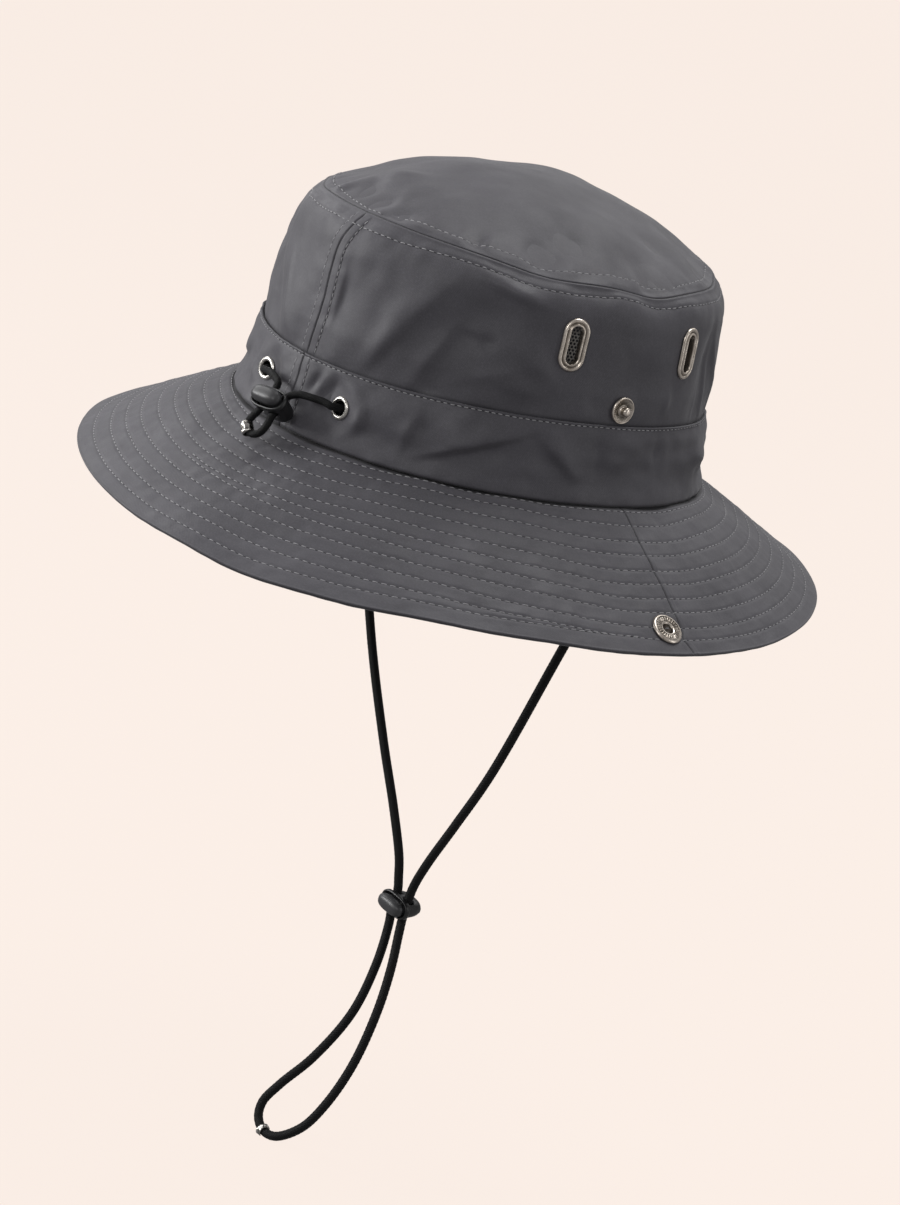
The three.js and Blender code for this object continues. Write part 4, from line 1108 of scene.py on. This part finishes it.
# Cord locks: width, depth and height of each row of the body's and the button's section
LOCK_BODY = [
    (2, 0.8, -7.5), (7.5, 3.4, -7.45), (10.2, 5, -7.2), (12.4, 6.3, -6.6), (14.2, 7.4, -5.4),
    (15.4, 8.1, -3.6), (16, 8.5, -1.4), (16.4, 8.7, 0.6), (16.5, 8.75, 1.1), (17.3, 9.3, 1.5),
    (17.9, 9.75, 2.0), (18.05, 9.85, 2.7), (17.9, 9.75, 3.5), (17.4, 9.4, 3.95), (16.6, 8.7, 4.05),
    (15.9, 8.1, 3.85), (15.6, 7.8, 3.3), (15.5, 7.75, 1.8), (14.6, 6.2, 1.7), (14.3, 6, 0.5),
    (14.2, 5.9, -5.6), (12, 4, -6.1), (2, 0.8, -6.2),
]
LOCK_BUTTON = [
    (2, 1, -3.1), (12.4, 4.7, -3.1), (13.5, 5.25, -2.8), (13.7, 5.35, 4.2), (13.9, 5.6, 4.5),
    (14.6, 6.7, 4.55), (14.85, 7, 4.9), (14.85, 7.05, 5.6), (14.6, 6.85, 6.3), (13.8, 6.3, 7.0),
    (12.2, 5.3, 7.65), (9.6, 3.9, 8.1), (6, 2.3, 8.3), (2, 0.7, 8.36),
]
LOCK_SIDES = 56
LOCK_SQUARE = 0.72
UPRIGHT = np.array([[1, 0, 0, 0], [0, 0, 1, 0], [0, -1, 0, 0], [0, 0, 0, 1]], float)


def lock_piece(name, rows, matrix, material):
    turn = np.arange(LOCK_SIDES) * FULL_TURN / LOCK_SIDES
    x = 0.5 * np.sign(np.cos(turn)) * np.abs(np.cos(turn)) ** LOCK_SQUARE
    y = 0.5 * np.sign(np.sin(turn)) * np.abs(np.sin(turn)) ** LOCK_SQUARE
    rings = []
    for width, depth, height in resampled(rows, 3, closed=False):
        rings.append(np.stack([max(width, 0.1) * x, max(depth, 0.05) * y, height + 0 * turn], -1))
    return swept(name, rings, matrix, material, closed=False)


def cut_hole(piece, shape, matrix, low, high):
    """Cuts a hole of the given outline, between two heights over its seat."""
    rings = [shape + np.array([0, 0, up]) for up in (low, high)]
    cutter = swept("plug", rings, matrix, CLOTH_LOOK, closed=False)
    modifier = piece.modifiers.new("cut", "BOOLEAN")
    modifier.operation = "DIFFERENCE"
    modifier.solver = "MANIFOLD"
    modifier.object = cutter
    graph = bpy.context.evaluated_depsgraph_get()
    mesh = bpy.data.meshes.new_from_object(piece.evaluated_get(graph))
    piece.modifiers.clear()
    old = piece.data
    piece.data = mesh
    bpy.data.meshes.remove(old)
    bpy.data.objects.remove(cutter)


def crinkled_sleeve(name, route, bore, middle, length, wall, seed):
    """A clip of thin metal pressed round a cord, at one place along it."""
    at = int(round(middle * (len(route) - 1)))
    along, across, up = frames_along(route)
    half = length / 2
    section = [(bore, -half), (bore + 0.15, -half - 0.12), (bore + wall, -half + 0.1), (bore + wall, 0),
               (bore + wall, half - 0.1), (bore + 0.15, half + 0.12), (bore, half), (bore, 0)]
    turn = np.arange(48) * FULL_TURN / 48
    rings = []
    patina_and_shade = []
    for radius, height in resampled(section, 6):
        crinkle = 0.16 * around_ripple(turn, height, 0.9, seed, bore)
        ring = ring_outline(1, height, 48)
        ring[:, :2] *= (radius + crinkle * step_up(radius - bore, 0.1, wall))[:, None]
        rings.append(ring)
        # Tarnish over the whole clip; painted shade darkens its dents and a painted highlight lightens its
        # bumps
        patina_and_shade.append(np.clip(0.4 - 3 * crinkle, 0, 0.9))
    return swept(name, rings, placed(across[at], up[at], along[at], route[at]), SILVER_LOOK, shade=patina_and_shade)


# Stitches: small lozenges along a line. A shape has rings, as place along, swell and rise, and corners.
THREAD_SHAPE = (((0, 0.55, -0.1), (0.25, 1, 0.1), (0.75, 1, 0.1), (1, 0.55, -0.1)),
                ((1, 0), (0.6, 0.8), (-0.6, 0.8), (-1, 0), (0, -0.8)))
PLAIN_SHAPE = (((0.12, 0.85, 0.06), (0.88, 0.85, 0.06)), ((1, 0), (0, 0.85), (-1, 0), (0, -0.8)))


def stitches_along(points, away, pitch, length, radius, start=0.0, seed=1, proud=1.0, shape=THREAD_SHAPE):
    gone = distances(points)
    random = np.random.default_rng(seed)
    middles = np.arange(start + pitch / 2, gone[-1] - pitch / 2, pitch)
    middles = middles + random.uniform(-0.12, 0.12, len(middles))
    lengths = length * random.uniform(0.9, 1.08, len(middles))

    def at(share):
        return at_distance(points, gone, middles + (share - 0.5) * lengths)

    off = unit(at_distance(away, gone, middles))
    along = unit(at(1) - at(0))
    side = unit(np.cross(off, along))
    rings, corners = shape
    rows = []
    for share, swell, rise in rings:
        for a, b in corners:
            rows.append(at(share) + side * (a * radius * swell) + off * (b * radius * swell + rise) * proud)
    rows.append(at(0) - along * 0.12 - off * 0.3)
    rows.append(at(1) + along * 0.12 - off * 0.3)
    return np.stack(rows, 1)


def add_stitches(name, groups, material, shape=PLAIN_SHAPE):
    stitches = np.concatenate(groups)
    total, count = len(shape[0]), len(shape[1])
    one = ring_quads(count, total, looped=False).tolist() + pole_fans(count, total).tolist()
    faces = []
    for start in range(0, stitches.shape[0] * stitches.shape[1], stitches.shape[1]):
        faces += [[start + i for i in face] for face in one]
    return add_object(name, stitches.reshape(-1, 3), faces, material)


def stitch_line(face, theta, place, pitch, length, radius, seed=1):
    """A row of thread on the cloth, and dark lozenges of painted shade in the needle holes between its
    stitches.
    """
    points = face.cloth(theta, place)
    away = face.away(theta, place)
    thread = stitches_along(points, away, pitch, length, radius, seed=seed)
    pit_shade = stitches_along(points, away, pitch, pitch - length + 0.4, radius * 1.15, pitch / 2, seed, 0.35,
                          PLAIN_SHAPE)
    return thread, pit_shade


# The cloth pieces
def settle(piece, slot, *nodes, body="hat"):
    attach(piece, body)
    if nodes:
        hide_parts(*nodes)
    return piece


def build_tip():
    thetas = columns([BACK_SEAM], count=480, half_width=0.5)
    inwards = np.concatenate([[0, 0.15, 0.35, 0.65, 1.0], np.arange(1.4, 7.5, 0.4)])
    reaches = 1 - inwards / TIP_SPAN
    reaches = np.concatenate([reaches, np.linspace(reaches[-1], 0.015, 68)[1:]])[::-1]
    inner = [tip_point(thetas, reach, CLOTH) for reach in [1, *np.linspace(0.985, 0.02, 22)]]
    rings = [TIP.cloth(thetas, reach) for reach in reaches] + inner
    rows = np.concatenate([reaches * TIP_SPAN, TIP_SPAN + 1 + np.arange(len(inner)) * 3.8])
    # Painted shade: a dark line along the top seam
    shade = [0.8 * bell((1 - reach) * TIP_SPAN, 0.2) for reach in reaches] + [0.0] * len(inner)
    poles = [rings[0].mean(0), rings[-1].mean(0)]
    piece = cloth_shell("crown_tip_cloth", rings, rows, thetas, shade, 60, poles)
    return settle(piece, "cloth", "crown_tip")


def build_wall():
    thetas = columns([BACK_SEAM + 1.7])
    low = [0.3, 3, 5, 8, 12, 16, 20, 24, 27]
    high = [*np.arange(78.3, 84.9, 0.36), 85.1, 85.3, 85.5, 85.7]
    heights = np.concatenate([low, np.arange(28.5, 78, 0.95), high])
    rings = []
    shade = []
    for height in heights:
        rings.append(WALL.cloth(thetas, height))
        # Painted shade: dark lines down the back seam, along the top seam and where the wall meets the band's
        # top
        line = 0.95 * bell(back_seam_side(thetas, height), 0.3) * step_up(height, 30, 31)
        edges = 0.7 * bell(read(TOP_SEAM_DROP, height), 0.3) + 0.45 * bell(height - BAND_HEIGHT - 0.3, 0.5)
        shade.append(np.clip(line + edges, 0, 1))
    inner_heights = np.concatenate([[85.7, 84, 82, 79.5], np.linspace(77, 30, 20), [25, 20, 14, 8, 4, 0.3]])
    for height in inner_heights:
        lean = math.hypot(1, float(read(PROFILE, height) - read(PROFILE, height - 1)) * HALF_WIDTH)
        wave = 0.5 * wall_relief(thetas, height) * step_up(height, 30, 36) * step_up(80 - height, 0, 4)
        rings.append(wall_point(thetas, height, wall_inset(thetas, height) + CLOTH * lean - wave))
        shade.append(0.0)
    rows = np.concatenate([heights, 90 + (85.7 - inner_heights)])
    piece = cloth_shell("crown_wall_cloth", rings, rows, thetas, shade)
    for matrix in WALL_SEATS.values():
        cut_hole(piece, oblong_outline(VENT_HALF_SLOT, VENT_SLOT_RADIUS + 1.1, 0), matrix, -6, 6)
    for angle in CHIN_SLOT_ANGLES:
        cut_hole(piece, sideways(oblong_outline(8, 3.2, 0)), seat(wall_face, angle, CHIN_SLOT_LEVEL), -3, 3)
    return settle(piece, "cloth", "crown_wall")


def build_band():
    thetas = columns([BACK_SEAM + 1.7])
    low = [0.35, 0.7, 1.1, 1.6, 2.2, 3.0]
    edge = BAND_HEIGHT - np.array([1.2, 0.85, 0.55, 0.32, 0.15, 0.04, 0])
    heights = np.concatenate([low, np.arange(3.8, 28.9, 0.85), [29.3, 29.6, 29.8], edge])
    rings = []
    shade = []
    for height in heights:
        rings.append(BAND.cloth(thetas, height))
        # Painted shade: a dark line down the back seam, and a painted contact shadow at the band's foot on
        # the brim
        line = 0.9 * bell(back_seam_side(thetas, height), 0.35)
        shade.append(np.maximum(line, 1 - step_up(height, 0.2, 1.3)))
    inner_heights = np.concatenate([[BAND_HEIGHT - 0.5, 28], np.linspace(24, 3, 8), [0.35]])
    for height in inner_heights:
        wave = band_relief(thetas, height) * step_up(height, 2, 6) * step_up(BAND_ROW - height, 0, 4)
        rings.append(band_point(thetas, height, CLOTH - np.maximum(0.6 * wave, -0.3)))
        # Painted shade over the band's inner face, inside the hat
        shade.append(0.4)
    rows = np.concatenate([heights, 40 + (BAND_HEIGHT - inner_heights)])
    piece = cloth_shell("crown_band_cloth", rings, rows, thetas, shade)
    for matrix in TIPPED_EYELETS.values():
        cut_hole(piece, ring_outline(3.7, 0, 32), matrix, -5, 6)
    return settle(piece, "cloth", "crown_band")


BRIM_EDGE = 0.985


def build_brim():
    thetas = columns(SIDE_SEAMS, count=460, half_width=2.0, step=0.13)
    away = outwards(thetas)
    rise = lift(thetas, 0)
    rings = [outline(thetas, 1, COLLAR_WIDTH, rise), outline(thetas, 1, 3, rise - 0.2)]
    # Painted shade where the brim tucks under the band
    shade = [0.9, 0.9]
    for reach in [0, 0.006, 0.014, *np.linspace(0.021, 0.972, 136), 0.979, BRIM_EDGE]:
        rings.append(BRIM.cloth(thetas, reach))
        # Painted shade along the side seams and at the brim's foot against the band
        seams = 0.8 * sum(bell(side, 0.4) for side in side_seam(thetas, reach))
        shade.append(np.clip(np.maximum(seams, 1 - step_up(reach, 0.0, 0.013)), 0, 1))
    low_edge = brim_under(thetas, BRIM_EDGE)
    middle = (rings[-1] + low_edge) / 2
    half = (rings[-1] - low_edge) / 2
    for turn in np.linspace(0, math.pi, 11)[1:-1]:
        off_seam = turn - math.pi * 0.52
        pinched = 1.05 * math.sin(turn) - 0.28 * bell(off_seam, 0.2)
        rings.append(middle + half * math.cos(turn) + away * pinched)
        # Painted shade in the line where the top and under cloths meet at the edge
        shade.append(0.9 * bell(off_seam, 0.3))
    for reach in [BRIM_EDGE, *np.linspace(0.97, 0.01, 24), 0.0]:
        rings.append(brim_under(thetas, reach))
        # Painted shade in the grooves of the underside's rows
        shade.append(0.3 * brim_groove(thetas, reach))
    rings += [outline(thetas, 1, inset, rise - BRIM_CLOTH) for inset in (3, COLLAR_WIDTH)]
    rows = distances(np.array([ring[0] for ring in rings]))
    piece = cloth_shell("brim_cloth", rings, rows, thetas, shade + [0.0, 0.0], BRIM_MIDDLE)
    for matrix in SOCKET_SEATS.values():
        cut_hole(piece, ring_outline(3.2, 0, 32), matrix, -6, 6)
    return settle(piece, "cloth", "brim")


# Stitching
def build_brim_stitches():
    turn = np.arange(0, 360.01, 0.25)
    lines = [(turn, circle_reach(np.radians(turn), row)) for row in range(len(BRIM_CIRCLES))]
    turn = np.arange(SPIRAL_START, SPIRAL_END, 0.25)
    lines.append((turn, read(BRIM_SPIRAL, turn)))
    rows = []
    under = []
    for k, (turn, reach) in enumerate(lines):
        theta = np.radians(turn)
        rows.append(stitch_line(BRIM, theta, reach, STITCH_PITCH, 2.4, 0.18, 100 + k))
        below = brim_under(theta, reach)
        away = -BRIM.away(theta, reach)
        under.append(stitches_along(below, away, STITCH_PITCH, 2.5, 0.2, seed=120 + k, shape=PLAIN_SHAPE))
    settle(add_stitches("brim_stitches", [row[0] for row in rows], THREAD_LOOK, THREAD_SHAPE), "cloth")
    settle(add_stitches("brim_stitches_under", under, THREAD_LOOK), "cloth")
    pit_shade = [row[1] for row in rows]
    reach = np.arange(0.02, 0.98, 0.004)
    for angle in SIDE_SEAMS:
        theta = math.radians(angle) - seam_kink(reach) / (HALF_WIDTH + BRIM_GROWTH * reach)
        pit_shade.append(stitches_along(BRIM.cloth(theta, reach), BRIM.away(theta, reach), 3.2, 2.3, 0.3, seed=140,
                                   proud=0.5, shape=PLAIN_SHAPE))
    settle(add_stitches("brim_stitch_pit_shade", pit_shade, PIT_SHADE_LOOK), "cloth")


def build_crown_stitches():
    angle = np.arange(101, 459.4, 0.25)
    rows = [stitch_line(TIP, np.radians(angle), 1 - read(TIP_ROW, angle) / TIP_SPAN, 3.1, 2.1, 0.19)]
    theta = np.radians(np.arange(92, 452.2, 0.25))
    rows.append(stitch_line(WALL, theta, wall_row(theta), 3.1, 2.1, 0.19, 2))
    rows.append(stitch_line(BAND, theta, BAND_ROW + 0.12 * np.sin(11 * theta), 2.7, 1.9, 0.19, 3))
    upper = np.arange(BAND_HEIGHT + 0.6, 85, 0.4)
    lower = np.arange(1.6, BAND_ROW - 0.5, 0.4)
    for beside in (-FIRST_ROW[0], FIRST_ROW[1]):
        for face, height in ((WALL, upper), (BAND, lower)):
            radius = HALF_WIDTH * read(PROFILE, height)
            theta = np.radians(BACK_SEAM) + (beside + read(BACK_SEAM_DRIFT, height)) / radius
            rows.append(stitch_line(face, theta, height, 2.9, 2.0, 0.18, 4))
    settle(add_stitches("crown_stitches", [row[0] for row in rows], THREAD_LOOK, THREAD_SHAPE), "cloth")
    settle(add_stitches("crown_stitch_pit_shade", [row[1] for row in rows], PIT_SHADE_LOOK), "cloth")


# Fittings and cords. A knurl is its two radii, its spokes and their depth; dark rings are radius, width, tone
STUD_LOOK = {
    "closed": False, "knurl": (2.4, 4.3, 36, 0.2), "sides": 144, "dark": ((2.6, 0.6, 0.85), (3.6, 0.9, 0.7)),
}
SOCKET_LOOK = {
    "knurl": (3.4, 5.1, 26, 0.3), "sides": 156, "smooth": 5,
    "dark": ((2.1, 0.3, 0.9), (3.3, 0.3, 0.9), (4.3, 1.0, 0.6), (5.4, 0.3, 0.95)),
}


def build_metal():
    for name, matrix in WALL_SEATS.items():
        settle(vent_frame(f"vent_frame_{name}_metal", matrix), "nickel", f"vent_frame_{name}")
        settle(vent_net(f"vent_net_{name}", matrix), "mesh", f"vent_mesh_{name}")
    for side in STUDS:
        for kind, section, seats, metal, slot, look in (
            ("snap_stud", STUD_SECTION, STUD_SEATS, NICKEL_LOOK, "nickel", STUD_LOOK),
            ("snap_socket", SOCKET_SECTION, SOCKET_SEATS, NICKEL_LOOK, "nickel", SOCKET_LOOK),
            ("rear_eyelet", EYELET_SECTION, TIPPED_EYELETS, SILVER_LOOK, "silver", {}),
        ):
            node = f"{kind}_{side}"
            settle(turned_piece(f"{node}_metal", section, seats[side], metal, **look), slot, node)


def build_lock(name, radius):
    matrix = lock_seat(name)
    body = lock_piece(f"{name}_lock_body_plastic", LOCK_BODY, matrix, PLASTIC_LOOK)
    button = lock_piece(f"{name}_lock_button_plastic", LOCK_BUTTON, matrix, BUTTON_LOOK)
    for side in (-1, 1):
        beside = np.identity(4)
        beside[0, 3] = side * LOCK_CORD_SPACING / 2
        cut_hole(body, ring_outline(radius + 0.8, 0, 28), matrix @ beside @ UPRIGHT, -8, 8)
    window = sideways(oblong_outline(LOCK_CORD_SPACING / 2, radius + 0.4, 0))
    window[:, 1] += np.where(window[:, 1] > 0, 2.3, 0)
    cut_hole(button, window, matrix @ UPRIGHT @ np.diag([1, -1, 1, 1.0]), -8, 8)
    settle(body, "plastic", f"{name}_lock_body")
    settle(button, "button", f"{name}_lock_button", body=f"{name}_button")
    return [body, button]


def build_hidden_cord(name, points, radius, node):
    route, _ = smooth_route(points, 3)
    settle(cord_tube(name, route, radius, sides=12, braid=0), "cord", node)


def build_drawcord():
    route, _ = smooth_route(drawcord_points(), 0.45)
    settle(cord_tube("rear_drawcord_braid", route, DRAWCORD_RADIUS), "cord", "rear_drawcord")
    clip = crinkled_sleeve("rear_cord_clip_metal", route, DRAWCORD_RADIUS + 0.25, *CLIPS["rear"])
    settle(clip, "silver", "rear_cord_clip")
    ring = channel_run(EYELETS["right"][0] + 9.4, EYELETS["left"][0] + 360 - 9.4, CORD_LEVEL)
    build_hidden_cord("rear_drawcord_hidden", ring, DRAWCORD_RADIUS, "rear_drawcord_inner")


def build_chin_cord():
    route, _ = smooth_route(chin_cord_points(), 0.5)
    cord = settle(cord_tube("chin_cord_braid", route, CHIN_CORD_RADIUS), "cord", "chin_cord")
    clip = crinkled_sleeve("chin_cord_clip_metal", route, CHIN_CORD_RADIUS + 0.25, *CLIPS["chin"])
    settle(clip, "silver", "chin_cord_clip")
    build_hidden_cord("chin_cord_hidden", chin_cord_ring(), CHIN_CORD_RADIUS, "chin_cord_inner")


# The stage: a plain pale floor that curves up all round, as radius and rise in metres
STAGE_SECTION = [
    (0.01, 0), (0.3, 0), (0.8, 0), (1.4, 0), (2.0, 0), (2.5, 0.04), (3.0, 0.17), (3.4, 0.4), (3.7, 0.75),
    (3.88, 1.2), (3.97, 1.8), (4.0, 2.6), (4.0, 4.5),
]


def build_stage(floor):
    sides = 96
    rings = [ring_outline(radius, floor + rise, sides) for radius, rise in STAGE_SECTION]
    points = np.concatenate(rings) / MM
    faces = ring_quads(sides, len(STAGE_SECTION), looped=False)[:, ::-1].tolist() + [list(range(sides))]
    shader = Shader("pale_backdrop", {
        "Specular IOR Level": 0.0, "Roughness": 1.0, "Emission Strength": 0.985,
        "Base Color": (0.03, 0.028, 0.026, 1),
    })
    tone = shader.noise(shader.place(), 0.35, 1)
    shader.set("Emission Color", shader.tint(tone, (0.94, 0.83, 0.765), (0.955, 0.855, 0.79)))
    stage = add_object("backdrop", points, faces, shader.material)
    stage.visible_diffuse = False
    stage.visible_glossy = False


# Lights aimed at the crown's foot: place, width and height, power
LIGHTS = {
    "low_left": ((1.2, 1.2, 0.35), (0.8, 0.8), 23),
    "upper_left": ((1.5, 0.2, 0.9), (0.7, 0.7), 6.5),
    "top": ((0.1, -0.5, 1.85), (0.8, 0.8), 17.5),
    "far_side": ((0.5, -1.5, 1.1), (1.2, 0.8), 4),
    "camera_side": ((-0.8, 1.5, 0.8), (0.7, 0.6), 6.8),
    "right_edge": ((-1.5, -0.9, 0.5), (0.35, 1.6), 4),
}
LIGHT_AIM = (0, 0, 0.03)


def build_lights():
    for name, (place, size, power) in LIGHTS.items():
        light = bpy.data.lights.new(name, "AREA")
        light.shape = "RECTANGLE"
        light.size, light.size_y = size
        light.energy = power
        turn = (Vector(LIGHT_AIM) - Vector(place)).to_track_quat("-Z", "Y").to_matrix().to_4x4()
        add_holder(name, light, place, turn)
    world = bpy.data.worlds.new("soft_room")
    world.use_nodes = True
    background = world.node_tree.nodes["Background"].inputs
    background["Color"].default_value = (0.97, 0.95, 0.96, 1)
    background["Strength"].default_value = 0.29
    bpy.context.scene.world = world


build_camera()
build_metal()
build_lock("rear", DRAWCORD_RADIUS)
CHIN_LOCK = build_lock("chin", CHIN_CORD_RADIUS)
build_drawcord()
build_chin_cord()
build_tip()
build_wall()
build_band()
build_brim()
build_brim_stitches()
build_crown_stitches()
build_stage(CAD_BOX[0][2])
build_lights()
scene = bpy.context.scene
scene.view_settings.view_transform = "Standard"
scene.view_settings.look = "None"
